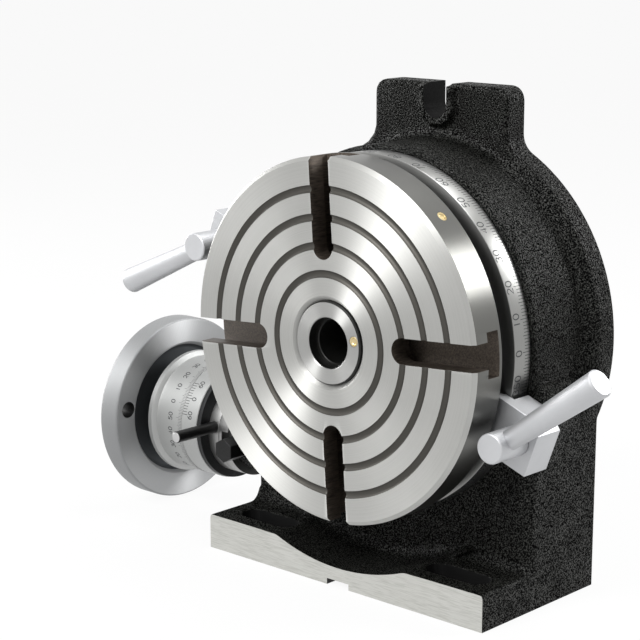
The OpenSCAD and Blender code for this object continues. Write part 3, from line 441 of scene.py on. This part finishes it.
def copy_of(node, name, material):
    """The CAD piece's mesh as a new piece, with its triangles joined into flat faces again."""
    bm = bmesh.new()
    bm.from_mesh(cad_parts[node].data)
    bmesh.ops.remove_doubles(bm, verts=bm.verts, dist=2e-6)
    bmesh.ops.dissolve_limit(bm, angle_limit=math.radians(0.6), verts=bm.verts, edges=bm.edges)
    mesh = bpy.data.meshes.new(name)
    bm.to_mesh(mesh)
    bm.free()
    return new_piece(name, mesh, material)


def dress(piece, body, slot, *nodes):
    """Puts the piece on its body and hides the CAD pieces it stands for. The finish's name, slot, is not
    used.
    """
    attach(piece, body)
    if nodes:
        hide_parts(*nodes)
    return piece


def refined(node, name, body, slot, material, width_mm):
    """A CAD piece again, with broken edges and a finish."""
    piece = copy_of(node, name, material)
    bevel(piece, width_mm)
    settle(piece)
    for face in piece.data.polygons:
        if len(face.vertices) > 4 and face.area > 25 * MM * MM:
            face.use_smooth = False
    return dress(piece, body, slot, node)


# %% [markdown]
# ## Sizes taken from the frame
# Nothing is measured twice: places come from the CAD pieces' own boxes, and only what a box can't
# tell, such as a groove's width, is written here as a value in millimetres.

# %% Sizes
table_high = size_of("rotary_table")[1]
ring_low, ring_high = size_of("graduated_ring")
cast_low, cast_high = size_of("base_casting")
sleeve_high = size_of("centre_sleeve")[1]
dial_low, dial_high = size_of("graduated_dial")
vernier_low, vernier_high = size_of("vernier_ring")
wheel_low, wheel_high = size_of("handwheel")
TABLE_R = table_high.x
RIM_T, RIM_CHAMFER = 22.5, 2.2
TABLE_TURN = math.radians(4)
NECK_R = 90
RING_R, RING_FRONT, RING_BACK = ring_high.x, ring_low.y, ring_high.y
DRILL_Y, DRILL_Z = (dial_low.y + dial_high.y) / 2, (dial_low.z + dial_high.z) / 2
FOOT_FRONT, REAR, FLOOR = cast_low.y, cast_high.y, cast_low.z
print(f"table {TABLE_R:.1f}, ring {RING_FRONT:.1f} to {RING_BACK:.1f}, worm at {DRILL_Y:.1f} {DRILL_Z:.1f}")

# %% [markdown]
# ## The casting
# A casting has no sharp corners where the mould's sand held it, and crisp ones where a cutter has
# been. So it is made in that order: the CAD solid, a little long where it is milled, is remeshed in
# small voxels and smoothed, which rounds all its edges and fills its corners. Then flat cutters take
# the milled faces back to size.

# %% Casting
VOXEL_MM = 1.25
SPARE = 3.0
SMOOTHING = 4
KEYWAY_W, KEYWAY_DEPTH = 16, 3.5
EAR_SLOT_R, EAR_SLOT_Z, EAR_FRONT, EAR_OPEN = 8.1, 121.3, 81, 160
FOOT_SLOT_X, FOOT_SLOT_Y, FOOT_SLOT_LEN, FOOT_SLOT_R, FOOT_CUT = 70, 27, 40.6, 7.8, 40
PALE_EDGE = 0.8
FAR = 200


def rough_casting():
    bm = bmesh.new()
    bm.from_mesh(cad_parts["base_casting"].data)
    bmesh.ops.remove_doubles(bm, verts=bm.verts, dist=2e-6)
    for vert in bm.verts:
        x, y, z = vert.co / MM
        if abs(y - FOOT_FRONT) < 0.02:
            vert.co.y -= SPARE * MM
        if abs(y - REAR) < 0.02:
            vert.co.y += SPARE * MM
        if abs(z - FLOOR) < 0.02:
            vert.co.z -= SPARE * MM
    mesh = bpy.data.meshes.new("casting")
    bm.to_mesh(mesh)
    bm.free()
    piece = new_piece("painted_casting", mesh, ENAMEL)
    step = piece.modifiers.new("sand", "REMESH")
    step.mode = "VOXEL"
    step.voxel_size = VOXEL_MM * MM
    soft = piece.modifiers.new("rounding", "SMOOTH")
    soft.factor = 0.5
    soft.iterations = SMOOTHING
    return settle(piece)


def block(low, high, material):
    """A box-shaped cutter between two corners in mm."""
    outline = [(low[0], low[2]), (high[0], low[2]), (high[0], high[2]), (low[0], high[2])]
    return new_piece("cutter", prism(outline, low[1], high[1]), material)


casting = rough_casting()
cut(casting, block((-FAR, FOOT_FRONT - FAR, -FAR), (FAR, FOOT_FRONT, FAR), MILLED))
cut(casting, block((-FAR, -FAR, FLOOR - FAR), (FAR, FAR, FLOOR), MILLED))
cut(casting, block((-FAR, REAR, -FAR), (FAR, REAR + FAR, FAR), MILLED))
# The keyway's walls take black steel, as painted shade for the dark under the foot.
cut(casting, block((-KEYWAY_W / 2, FOOT_FRONT - 1, FLOOR - 1),
                   (KEYWAY_W / 2, REAR + 1, FLOOR + KEYWAY_DEPTH), BLACK_STEEL))
# The ear slot's walls take the near-sheenless black paint, as painted shade inside the slot.
ear_outline = ([(EAR_SLOT_R, EAR_OPEN), (-EAR_SLOT_R, EAR_OPEN)]
               + [(EAR_SLOT_R * math.cos(math.radians(180 + 10 * i)),
                   EAR_SLOT_Z + EAR_SLOT_R * math.sin(math.radians(180 + 10 * i))) for i in range(19)])
cut(casting, new_piece("cutter", prism(ear_outline, EAR_FRONT - 1, REAR + 1), SLOT_PAINT_AND_SHADE))

# The foot slots' walls take the same black paint and painted shade.
for slot_x in (-FOOT_SLOT_X, FOOT_SLOT_X):
    flat = FOOT_SLOT_LEN / 2 - FOOT_SLOT_R
    foot_slot = prism([(slot_x + side * flat + FOOT_SLOT_R * math.sin(math.radians(a)) * side,
                        FOOT_SLOT_R * math.cos(math.radians(a)) * side)
                       for side in (1, -1) for a in range(0, 181, 12)], 0, FOOT_CUT,
                      Matrix.Translation((0, FOOT_SLOT_Y, FLOOR - 1)) @ Matrix.Rotation(math.pi / 2, 4, "X"))
    cut(casting, new_piece("cutter", foot_slot, SLOT_PAINT_AND_SHADE))


def pale_edge(piece, front_y, width_mm):
    """Breaks the painted edge of a milled face, which leaves a thin line of bare iron."""
    bm = bmesh.new()
    bm.from_mesh(piece.data)
    names = [slot.name for slot in piece.data.materials]
    bare = names.index(MILLED.name)
    edges = [e for e in bm.edges if len(e.link_faces) == 2
             and all(abs(v.co.y / MM - front_y) < 0.01 for v in e.verts)
             and min(v.co.z / MM for v in e.verts) > FLOOR + KEYWAY_DEPTH + 1
             and {f.material_index == bare for f in e.link_faces} == {True, False}]
    bmesh.ops.bevel(bm, geom=edges, offset=width_mm * MM, segments=1, affect="EDGES", clamp_overlap=True,
                    material=bare)
    bm.to_mesh(piece.data)
    bm.free()
    return len(edges)


print("edges broken on the foot:", pale_edge(casting, FOOT_FRONT, PALE_EDGE))
dress(casting, "base", "black_casting", "base_casting")
print("casting faces:", len(casting.data.polygons))

# %% [markdown]
# ## The table
# The faceplate is turned from an iron casting and its T slots are milled. The outline is turned here
# too, and the slots are cut out of it by Boolean, so that their walls can carry the oiled finish.

# %% Table
GROOVE_R, GROOVE_STEP, GROOVES, GROOVE_W, GROOVE_DEPTH = 37.5, 15.1, 4, 3.5, 1.2
SLOT_W, SLOT_MOUTH, UNDERCUT_W, UNDERCUT_H, SLOT_START = 14, 11, 24, 9, 52
HEAD_R, HEAD_DEPTH, SEAT, TUBE_R = 23.1, 8, 2.5, 20
SPINDLE_R, JOURNAL_R, JOURNAL_BACK, RING_SEAT_R = 28, 78, 53.2, 88


def arc(cx, cy, r, a0, a1, steps=8):
    turns = [math.radians(a0 + (a1 - a0) * i / steps) for i in range(steps + 1)]
    return [(cx + r * math.cos(a), cy + r * math.sin(a)) for a in turns]


def groove(r):
    """A circular groove's outline, from the outside in, with a rounded floor."""
    half, edge = GROOVE_W / 2, 0.35
    return [(r + half + edge, 0), (r + half, edge), (r + half * 0.7, GROOVE_DEPTH * 0.8), (r, GROOVE_DEPTH),
            (r - half * 0.7, GROOVE_DEPTH * 0.8), (r - half, edge), (r - half - edge, 0)]


def table_outline():
    grooves = [p for i in reversed(range(GROOVES)) for p in groove(GROOVE_R + i * GROOVE_STEP)]
    return ([(TABLE_R, RIM_CHAMFER), (TABLE_R - RIM_CHAMFER, 0)] + grooves
            + [(HEAD_R + SEAT, 0), (HEAD_R, SEAT), (HEAD_R, HEAD_DEPTH), (TUBE_R, HEAD_DEPTH),
               (TUBE_R, table_high.y), (SPINDLE_R, table_high.y), (SPINDLE_R, JOURNAL_BACK),
               (JOURNAL_R, JOURNAL_BACK), (JOURNAL_R, RING_BACK), (RING_SEAT_R, RING_BACK),
               (RING_SEAT_R, RING_FRONT), (NECK_R, RING_FRONT), (NECK_R, RIM_T),
               (TABLE_R - 0.5, RIM_T), (TABLE_R, RIM_T - 0.5)])


def slot_outline(half, start_r, reach):
    """One slot along X with its round inner end, as [x, z]."""
    return [(reach, -half), (reach, half)] + arc(start_r, 0, half, 90, 270, 24)


def slot_cutters():
    reach = TABLE_R + 5
    for k in range(4):
        spin = Matrix.Rotation(math.pi / 2 * k - TABLE_TURN, 4, "Y")
        yield prism(slot_outline(SLOT_W / 2, SLOT_START, reach), -1, SLOT_MOUTH + 1, spin)
        yield prism(slot_outline(UNDERCUT_W / 2, SLOT_START, reach),
                    SLOT_MOUTH, SLOT_MOUTH + UNDERCUT_H, spin)


table = new_piece("table_faceplate", turn_about(table_outline(), "Y"),
                  TURNED_FACE, SLOT, BLACK_GROOVE, RIM_DARK_REFLECTION, GROOVE_SHADE)
for cutter_mesh in slot_cutters():
    cut(table, new_piece("cutter", cutter_mesh, SLOT))
bevel(table, 0.45, 2, 50)
settle(table)
for face in table.data.polygons:
    middle = face.center / MM
    out = math.hypot(middle.x, middle.z)
    if RIM_T - 0.2 < middle.y < RING_FRONT + 0.2:
        face.material_index = 2
    elif face.material_index == 0 and out < HEAD_R + 0.4 and middle.y > SEAT - 0.4:
        face.material_index = 2
    # The rim's cylinder takes the darker copy, as painted dark reflection.
    elif face.material_index == 0 and out > TABLE_R - 1 and middle.y > RIM_CHAMFER:
        face.material_index = 3
    # The groove walls and floors take the darker copy, as painted shade.
    elif (face.material_index == 0 and HEAD_R + SEAT + 2 < out < TABLE_R - RIM_CHAMFER - 1
          and 0.1 < middle.y < GROOVE_DEPTH + 0.2):
        face.material_index = 4
dress(table, "table", "turned_iron", "rotary_table")
print("table faces:", len(table.data.polygons))

# %% [markdown]
# ## The graduated ring and its numbers
# The ring is divided into 360 degrees: short lines, longer ones at five and ten, and a number at
# every ten. On the real ring they are engraved and filled with black paint. Filled lines are level
# with the metal, so each one is a thin dark strip here, laid into the surface. The numbers are made
# of strokes, as an engraver's pantograph makes them.

# %% Engraving helpers
LINE_RISE = 0.03
LINE_SINK = 0.12


def bow(cx, cy, rx, ry, a0, a1, steps=14):
    turns = [math.radians(a0 + (a1 - a0) * i / steps) for i in range(steps + 1)]
    return [(cx + rx * math.cos(a), cy + ry * math.sin(a)) for a in turns]


DIGITS = {
    "0": [bow(0.3, 0.5, 0.3, 0.5, 0, 360)],
    "1": [[(0.3, 1), (0.3, 0)]],
    "2": [bow(0.3, 0.71, 0.28, 0.29, 165, -35) + [(0.02, 0), (0.6, 0)]],
    "3": [bow(0.29, 0.75, 0.26, 0.25, 150, -90), bow(0.29, 0.26, 0.3, 0.26, 90, -150)],
    "4": [[(0.46, 0), (0.46, 1), (0.02, 0.3), (0.62, 0.3)]],
    "5": [[(0.54, 1), (0.1, 1), (0.06, 0.55)] + bow(0.28, 0.31, 0.3, 0.31, 130, -150)],
    "6": [bow(0.3, 0.3, 0.29, 0.3, 0, 360), [(0.02, 0.36), (0.12, 0.7), (0.46, 1)]],
    "7": [[(0.02, 1), (0.58, 1), (0.2, 0)]],
    "8": [bow(0.3, 0.76, 0.24, 0.24, 0, 360), bow(0.3, 0.27, 0.29, 0.27, 0, 360)],
    "9": [bow(0.3, 0.7, 0.29, 0.3, 0, 360), [(0.58, 0.64), (0.48, 0.3), (0.14, 0)]],
}


class Engraving:
    """Thin strips on a cylinder. place(along, up, rise) gives a point in mm for a spot on its skin."""

    def __init__(self, place):
        self.bm = bmesh.new()
        self.place = place

    def stroke(self, line, width):
        """A strip along a line of (along, up) points, closed all round."""
        closed = math.dist(line[0], line[-1]) < 1e-6
        points = line[:-1] if closed else line
        count = len(points)
        rows = []
        for i, (u, v) in enumerate(points):
            before = points[i - 1] if (closed or i) else points[i]
            after = points[(i + 1) % count] if (closed or i < count - 1) else points[i]
            du, dv = after[0] - before[0], after[1] - before[1]
            size = math.hypot(du, dv) or 1
            nu, nv = -dv / size * width / 2, du / size * width / 2
            corners = [(u + nu, v + nv, LINE_RISE), (u - nu, v - nv, LINE_RISE),
                       (u - nu, v - nv, -LINE_SINK), (u + nu, v + nv, -LINE_SINK)]
            rows.append([self.bm.verts.new(Vector(self.place(*c)) * MM) for c in corners])
        for i in range(count if closed else count - 1):
            here, there = rows[i], rows[(i + 1) % count]
            for k in range(4):
                n = (k + 1) % 4
                self.bm.faces.new((here[k], here[n], there[n], there[k]))
        if not closed:
            self.bm.faces.new(rows[0])
            self.bm.faces.new(rows[-1][::-1])

    def number(self, text, along, up, height, width):
        """A number centred on along, with its feet at up. Up grows toward the number's top."""
        advance = height * 0.82
        left = along - (len(text) * advance - height * 0.22) / 2
        for i, sign in enumerate(text):
            for line in DIGITS[sign]:
                self.stroke([(left + i * advance + x * height, up + y * height) for x, y in line], width)

    def piece(self, name, body, slot):
        bmesh.ops.recalc_face_normals(self.bm, faces=self.bm.faces)
        mesh = bpy.data.meshes.new(name)
        self.bm.to_mesh(mesh)
        self.bm.free()
        made = new_piece(name, mesh, FILLED)
        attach(made, body)
        return made


def tick_kind(number):
    """10, 5 or 1: how round a graduation is, and so how long its line."""
    return 10 if number % 10 == 0 else 5 if number % 5 == 0 else 1


# %% Graduated ring
RING_ZERO = 2.0
TICKS_MM = {1: 4.8, 5: 5.8, 10: 6.6}
TICK_W, NUMBER_UP, NUMBER_H, NUMBER_W = 0.36, 7.6, 4.8, 0.62


def on_ring(along, up, rise):
    """along runs up the ring's right side, up runs forward from its rear edge."""
    angle = along / RING_R
    r = RING_R + rise
    return (r * math.cos(angle), RING_BACK - up, r * math.sin(angle))


ring_edge = 0.5
ring = new_piece("degree_ring", turn_about(
    [(RING_SEAT_R, RING_FRONT), (RING_R - ring_edge, RING_FRONT), (RING_R - 0.15, RING_FRONT + 0.15),
     (RING_R, RING_FRONT + ring_edge), (RING_R, RING_BACK - 0.2), (RING_R - 0.2, RING_BACK),
     (RING_SEAT_R, RING_BACK)],
    "Y", segments=360), TURNED_RING)
settle(ring, 30)
dress(ring, "table", "bright_steel", "graduated_ring")
marks = Engraving(on_ring)
for degree in range(360):
    spot = math.radians(degree + RING_ZERO) * RING_R
    kind = tick_kind(degree)
    marks.stroke([(spot, 0.1), (spot, TICKS_MM[kind])], TICK_W)
    if kind == 10:
        marks.number(str(degree), spot, NUMBER_UP, NUMBER_H, NUMBER_W)
marks.piece("degree_marks", "table", "bright_steel")
print("the ring has 360 lines and 36 numbers")

# %% [markdown]
# ## The centre sleeve
# A hardened and ground sleeve lines the centre. Its head lies level with the face, round a 28 mm
# register, and the Morse taper behind it is near black, a painted shade for the dark inside it. A ball oiler
# sits in its head.

# %% Centre sleeve and oilers
REGISTER_R, REGISTER_DEPTH, TAPER_R, TAPER_END, TAPER_SMALL_R, TANG_R = 14, 6, 11.91, 87, 9.88, 9
sleeve = new_piece("taper_sleeve", turn_about(
    [(REGISTER_R, 0.5), (REGISTER_R + 0.5, 0), (22.2, 0), (23, 0.8), (23, HEAD_DEPTH), (TUBE_R, HEAD_DEPTH),
     (TUBE_R, sleeve_high.y), (TANG_R, sleeve_high.y), (TANG_R, TAPER_END), (TAPER_SMALL_R, TAPER_END),
     (TAPER_R, REGISTER_DEPTH + 0.4), (TAPER_R + 0.4, REGISTER_DEPTH), (REGISTER_R, REGISTER_DEPTH)], "Y"),
    GROUND_SLEEVE, BORE)
settle(sleeve)
# The taper bore takes the near-black finish as painted shade; the head's chamfer and outer wall take it as
# the dark joint round the sleeve.
for face in sleeve.data.polygons:
    middle = face.center / MM
    out = math.hypot(middle.x, middle.z)
    if out > 22.3 or (out < REGISTER_R + 0.1 and middle.y > 0.6):
        face.material_index = 1
dress(sleeve, "table", "ground_steel", "centre_sleeve")


def oiler_outline():
    """A ball oiler's cup about its own axis: rim, funnel and ball, as [radius, depth]."""
    return ([(2.9, 5), (2.9, 0.25), (2.65, 0), (2.0, 0), (1.45, 0.75), (1.2, 0.85)]
            + arc(0, 1.9, 1.2, -75, -90, 3)[1:] + [(0, 5)])


HOLE = [(0, -1), (2.9, -1), (2.9, 5.2), (0, 5.2)]
low, high = size_of("sleeve_oiler")
face_spot = Matrix.Translation(Vector(((low.x + high.x) / 2, 0, (low.z + high.z) / 2)) * MM)
low, high = size_of("rim_oiler")
spin = math.atan2(low.z + high.z, low.x + high.x)
rim_spot = (Matrix.Translation(Vector((0, (low.y + high.y) / 2, 0)) * MM) @ Matrix.Rotation(-spin, 4, "Y")
            @ Matrix.Translation(Vector((TABLE_R, 0, 0)) * MM) @ Matrix.Rotation(math.pi / 2, 4, "Z"))
for node, name, spot, host in (("sleeve_oiler", "face_oiler", face_spot, sleeve),
                               ("rim_oiler", "edge_oiler", rim_spot, table)):
    hole = turn_about(HOLE, "Y", (0, 0, 0), 48)
    hole.transform(spot)
    cut(host, new_piece("cutter", hole, BLACK_STEEL))
    mesh = turn_about(oiler_outline(), "Y", (0, 0, 0), 48)
    mesh.transform(spot)
    oiler = new_piece(name, mesh, BRASS)
    settle(oiler)
    dress(oiler, "table", "brass", node)
print("sleeve and two oilers")

# %% [markdown]
# ## The handwheel
# The handwheel is a heavy disc turned from steel. Its outer face is dished, its inner face has a
# narrow recess round the dial, and one tapped hole takes its crank handle. It is turned about X, so
# its highlights fan out on its faces.

# %% Handwheel
WHEEL_R = (wheel_high.z - wheel_low.z) / 2
WHEEL_IN, WHEEL_OUT = -186.5, wheel_low.x
HUB_R, SHAFT_R, DISH_R, WEB, LIP_W = 17, 6.5, 41, 4, 16
RECESS_END = -180
CRANK_R, CRANK_D, CRANK_ANGLE = 48, 10, math.radians(9)
wheel_axis = (0, DRILL_Y, DRILL_Z)


def handwheel_outline():
    hub_in = dial_low.x - 0.4
    inner = arc(DISH_R - 3, WHEEL_IN - WEB + 3, 3, -90, -10, 10)
    return ([(SHAFT_R, dial_high.x), (13.97, dial_high.x), (13.97, hub_in), (HUB_R, hub_in),
             (HUB_R, WHEEL_IN - WEB)] + inner + [(DISH_R + 1.5, WHEEL_IN), (WHEEL_R - 1.5, WHEEL_IN)]
            + arc(WHEEL_R - 1.5, WHEEL_IN - 1.5, 1.5, 90, 0, 6)
            + arc(WHEEL_R - 3, WHEEL_OUT + 3, 3, 0, -90, 8)
            + [(WHEEL_R - LIP_W, WHEEL_OUT), (WHEEL_R - LIP_W - 3, WHEEL_OUT + 5), (HUB_R + 4, WHEEL_OUT + 5),
               (HUB_R, WHEEL_OUT + 2), (SHAFT_R, WHEEL_OUT + 2)])


wheel = new_piece("crank_wheel", turn_about(handwheel_outline(), "X", wheel_axis),
                  HANDWHEEL_STEEL, BLACK_STEEL, WHEEL_RECESS_SHADE, WHEEL_EDGE_SHADED)
crank_at = (0, DRILL_Y - CRANK_R * math.cos(CRANK_ANGLE), DRILL_Z + CRANK_R * math.sin(CRANK_ANGLE))
crank_hole = turn_about([(0, WHEEL_OUT - 2), (CRANK_D / 2, WHEEL_OUT - 2), (CRANK_D / 2, WHEEL_IN + 2),
                         (0, WHEEL_IN + 2)], "X", crank_at, 48)
cut(wheel, new_piece("cutter", crank_hole, BLACK_STEEL))
bevel(wheel, 0.3, 2, 40)
settle(wheel)
for face in wheel.data.polygons:
    middle = face.center / MM
    from_axis = math.hypot(middle.y - DRILL_Y, middle.z - DRILL_Z)
    # Faces in the recess round the dial take the darker copy, as painted shade.
    if from_axis < DISH_R - 0.5 and WHEEL_IN - WEB - 0.5 < middle.x < RECESS_END:
        face.material_index = 2
    # The outer edge takes the darker copy, as painted shade against the key lamp's highlight.
    elif from_axis > WHEEL_R - 1 and face.material_index == 0:
        face.material_index = 3
dress(wheel, "worm_drive", "handwheel_steel", "handwheel")
print("handwheel faces:", len(wheel.data.polygons))

# %% [markdown]
# ## The dial and its vernier
# One turn of the handwheel is four degrees, so the dial carries 240 lines, one minute each, and a
# number at every ten. It has a raised rim to grip. The vernier beside it counts both ways from its
# zero in six steps of ten seconds, which together are as long as eleven minutes of the dial.

# %% Dial and vernier
DIAL_R = (vernier_high.z - vernier_low.z) / 2
DIAL_RIM_R = (dial_high.z - dial_low.z) / 2
DIAL_FACE, DIAL_END = dial_high.x, dial_low.x
GRIP_W, DIAL_BORE_R, VERNIER_BORE_R = 4, 14, 28
DIAL_TURN, MINUTE_STEP = 24.5, 1.5
MINUTE_TICKS = {1: 3.0, 5: 3.9, 10: 4.8}
MINUTE_W, MINUTE_UP = 0.16, 8.4
SMALL_H, SMALL_W = 3.2, 0.5
VERNIER_TURN, VERNIER_STEPS = 31.0, 6
VERNIER_STEP = 11 * MINUTE_STEP / VERNIER_STEPS
VERNIER_UP, VERNIER_TICK, VERNIER_LONG_TICK = 8.0, 3.4, 4.4


def on_dial(edge_x):
    """Places engraving on the dial's skin: along runs up its front side, up runs left from an edge."""
    def place(along, up, rise):
        angle = along / DIAL_R
        r = DIAL_R + rise
        return (edge_x - up, DRILL_Y - r * math.cos(angle), DRILL_Z + r * math.sin(angle))
    return place


dial = new_piece("minute_dial", turn_about(
    [(DIAL_BORE_R, DIAL_FACE), (DIAL_R - 0.4, DIAL_FACE), (DIAL_R, DIAL_FACE - 0.4),
     (DIAL_R, DIAL_END + GRIP_W + 1.5), (DIAL_RIM_R - 0.3, DIAL_END + GRIP_W),
     (DIAL_RIM_R, DIAL_END + GRIP_W - 0.3), (DIAL_RIM_R, DIAL_END + 0.8), (DIAL_RIM_R - 0.8, DIAL_END),
     (DIAL_BORE_R, DIAL_END)], "X", wheel_axis), DIAL_CHROME)
settle(dial)
dress(dial, "dial", "dial_steel", "graduated_dial")
minutes = Engraving(on_dial(DIAL_FACE))
for minute in range(240):
    spot = math.radians(minute * MINUTE_STEP + DIAL_TURN) * DIAL_R
    kind = tick_kind(minute)
    minutes.stroke([(spot, 0.1), (spot, MINUTE_TICKS[kind])], MINUTE_W)
    if kind == 10:
        minutes.number(str(minute % 60), spot, MINUTE_UP, SMALL_H, SMALL_W)
minutes.piece("minute_marks", "dial", "dial_steel")

vernier = new_piece("vernier_scale_ring", turn_about(
    [(VERNIER_BORE_R, vernier_high.x), (DIAL_R - 0.4, vernier_high.x), (DIAL_R, vernier_high.x - 0.4),
     (DIAL_R, vernier_low.x + 0.2), (DIAL_R - 0.2, vernier_low.x), (VERNIER_BORE_R, vernier_low.x)],
    "X", wheel_axis), DIAL_CHROME)
settle(vernier)
dress(vernier, "worm_carrier", "dial_steel", "vernier_ring")
seconds = Engraving(on_dial(vernier_high.x))
vernier_w = vernier_high.x - vernier_low.x
for step in range(-VERNIER_STEPS, VERNIER_STEPS + 1):
    spot = math.radians(step * VERNIER_STEP + VERNIER_TURN) * DIAL_R
    length = VERNIER_TICK if step % VERNIER_STEPS else VERNIER_LONG_TICK
    seconds.stroke([(spot, vernier_w - 0.1), (spot, vernier_w - length)], TICK_W)
    if step % VERNIER_STEPS == 0:
        seconds.number(str(abs(step) * 10), spot, vernier_w - VERNIER_UP, SMALL_H, SMALL_W)
seconds.piece("vernier_marks", "worm_carrier", "dial_steel")
print("the dial has 240 lines and 24 numbers")

# %% [markdown]
# ## Small parts
# The clamps, collars, screws and lever rod have the right shape already. Each gets broken edges,
# sized as the real piece's are, and its finish.

# %% Small parts that show
for side in ("right", "left"):
    refined(side + "_clamp_block", side + "_toe_block", side + "_clamp", "satin_steel", SATIN, 0.4)
    refined(side + "_clamp_screw", side + "_clamp_boss", side + "_clamp_handle", "satin_steel", SATIN, 0.4)
    refined(side + "_clamp_lever", side + "_clamp_bar", side + "_clamp_handle", "satin_steel", SATIN, 0.5)
for node, name, body, slot, material, width in (
        ("index_collar", "collar_by_the_boss", "base", "bright_steel", TURNED_COLLAR, 0.5),
        ("eccentric_sleeve", "eccentric_housing", "worm_carrier", "bright_steel", TURNED_COLLAR, 0.4),
        ("dial_backplate", "plate_behind_dial", "worm_carrier", "black_steel", BLACK_PLATE, 0.4),
        ("engagement_rod", "engagement_bar", "worm_carrier", "black_steel", BLACK_STEEL, 0.3),
        ("lock_screw", "pinch_screw", "lock", "black_steel", BLACK_STEEL, 0.4),
        ("rear_cover", "back_cover", "base", "black_casting", BLACK_STEEL, 0.4),
        ("handwheel_nut", "wheel_nut", "worm_drive", "black_steel", BLACK_STEEL, 0.5)):
    refined(node, name, body, slot, material, width)
rod = bpy.data.objects["engagement_bar"]
rod.data.materials.append(PLAIN_STEEL)
rod_front = min(vertex.co.y for vertex in rod.data.vertices)
for face in rod.data.polygons:
    if face.center.y < rod_front + 1.5 * MM and face.normal.y < -0.9:
        face.material_index = 1

# %% Pieces that keep their CAD mesh
KEPT = {
    "rear_cover_screws": BLACK_STEEL, "index_collar_screws": BLACK_STEEL, "spindle_bush": BRONZE,
    "thrust_washer": BRONZE, "worm_wheel": BRONZE, "worm_wheel_screws": BLACK_STEEL,
    "spindle_nut": BLACK_STEEL, "spindle_nut_screws": BLACK_STEEL, "sleeve_bush_left": BRONZE,
    "sleeve_bush_right": BRONZE, "backplate_screws": BLACK_STEEL, "worm_shaft": PLAIN_STEEL,
    "worm": PLAIN_STEEL, "worm_collar": PLAIN_STEEL, "handwheel_key": PLAIN_STEEL,
    "dial_spring": PLAIN_STEEL,
}
for node, material in KEPT.items():
    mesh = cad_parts[node].data
    mesh.materials.clear()
    mesh.materials.append(material)
print("CAD meshes kept:", len(KEPT))

# %% [markdown]
# ## Floor, world and lamps
# The part stands on a pale floor under broad soft lamps, as on a product table. Camera and glossy
# rays see white beyond it, so the metals have something bright to mirror, while the light that
# falls on the part stays at a plain level.

# %% Floor and world
FLOOR_GLOW, FLOOR_REACH = 0.92, 20.0


def white_ray_share(tree):
    """1 for rays that should see the white background: from the camera, mirrored or passed through."""
    path = add(tree, "LightPath")
    either = add(tree, "Math", {0: path.outputs["Is Camera Ray"], 1: path.outputs["Is Glossy Ray"]},
                 operation="MAXIMUM").outputs[0]
    return add(tree, "Math", {0: either, 1: path.outputs["Is Transmission Ray"]},
               operation="MAXIMUM").outputs[0]


def pale_floor():
    material, tree, shader, place = start("pale studio floor")
    shader.inputs["Roughness"].default_value = 0.9
    tree.links.new(mix(tree, noise(tree, place, 60), "#e9e9e9", "#eeeeee"), shader.inputs["Base Color"])
    glow = add(tree, "Emission", {"Color": (1, 1, 1, 1), "Strength": 1.0}).outputs[0]
    share = add(tree, "Math", {0: white_ray_share(tree), 1: FLOOR_GLOW}, operation="MULTIPLY").outputs[0]
    blend = add(tree, "MixShader", {0: share, 1: shader.outputs[0], 2: glow}).outputs[0]
    tree.links.new(blend, tree.nodes["Material Output"].inputs["Surface"])
    return material


bm = bmesh.new()
bmesh.ops.create_grid(bm, x_segments=8, y_segments=8, size=FLOOR_REACH)
floor_mesh = bpy.data.meshes.new("floor")
bm.to_mesh(floor_mesh)
bm.free()
floor = new_piece("floor", floor_mesh, pale_floor())
floor.location.z = FLOOR * MM
floor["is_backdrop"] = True

world = bpy.data.worlds.new("studio")
bpy.context.scene.world = world
world.use_nodes = True
sky = world.node_tree
sky_colour = mix(sky, white_ray_share(sky), "#9a9a9a", "#ffffff")
sky.links.new(sky_colour, sky.nodes["Background"].inputs["Color"])
print("floor at", round(FLOOR, 1), "mm")

# %% Lamps
def lamp(name, azimuth, height, distance, size, watts):
    """A square soft lamp that faces the part, at an azimuth from the front and a height in degrees."""
    a, h = math.radians(azimuth), math.radians(height)
    out = Vector((math.sin(a) * math.cos(h), -math.cos(a) * math.cos(h), math.sin(h)))
    data = bpy.data.lights.new(name, "AREA")
    data.energy = watts
    data.shape = "RECTANGLE"
    data.size, data.size_y = size
    made = bpy.data.objects.new(name, data)
    bpy.context.scene.collection.objects.link(made)
    made.location = out * distance
    made.rotation_mode = "QUATERNION"
    made.rotation_quaternion = (-out).to_track_quat("-Z", "Y")


lamp("key", -7, 40, 1.6, (0.7, 0.7), 24)
lamp("left", -84, 8, 1.5, (0.5, 0.6), 11)
lamp("rim", 144, 27, 1.5, (0.3, 0.5), 10)
lamp("top", 160, 68, 1.5, (0.8, 0.6), 9)
bpy.context.scene.view_settings.view_transform = "Standard"

# %% Print the bounds
new_box = [list(corner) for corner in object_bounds()]
print("bounds", [[round(x / MM, 1) for x in corner] for corner in new_box])
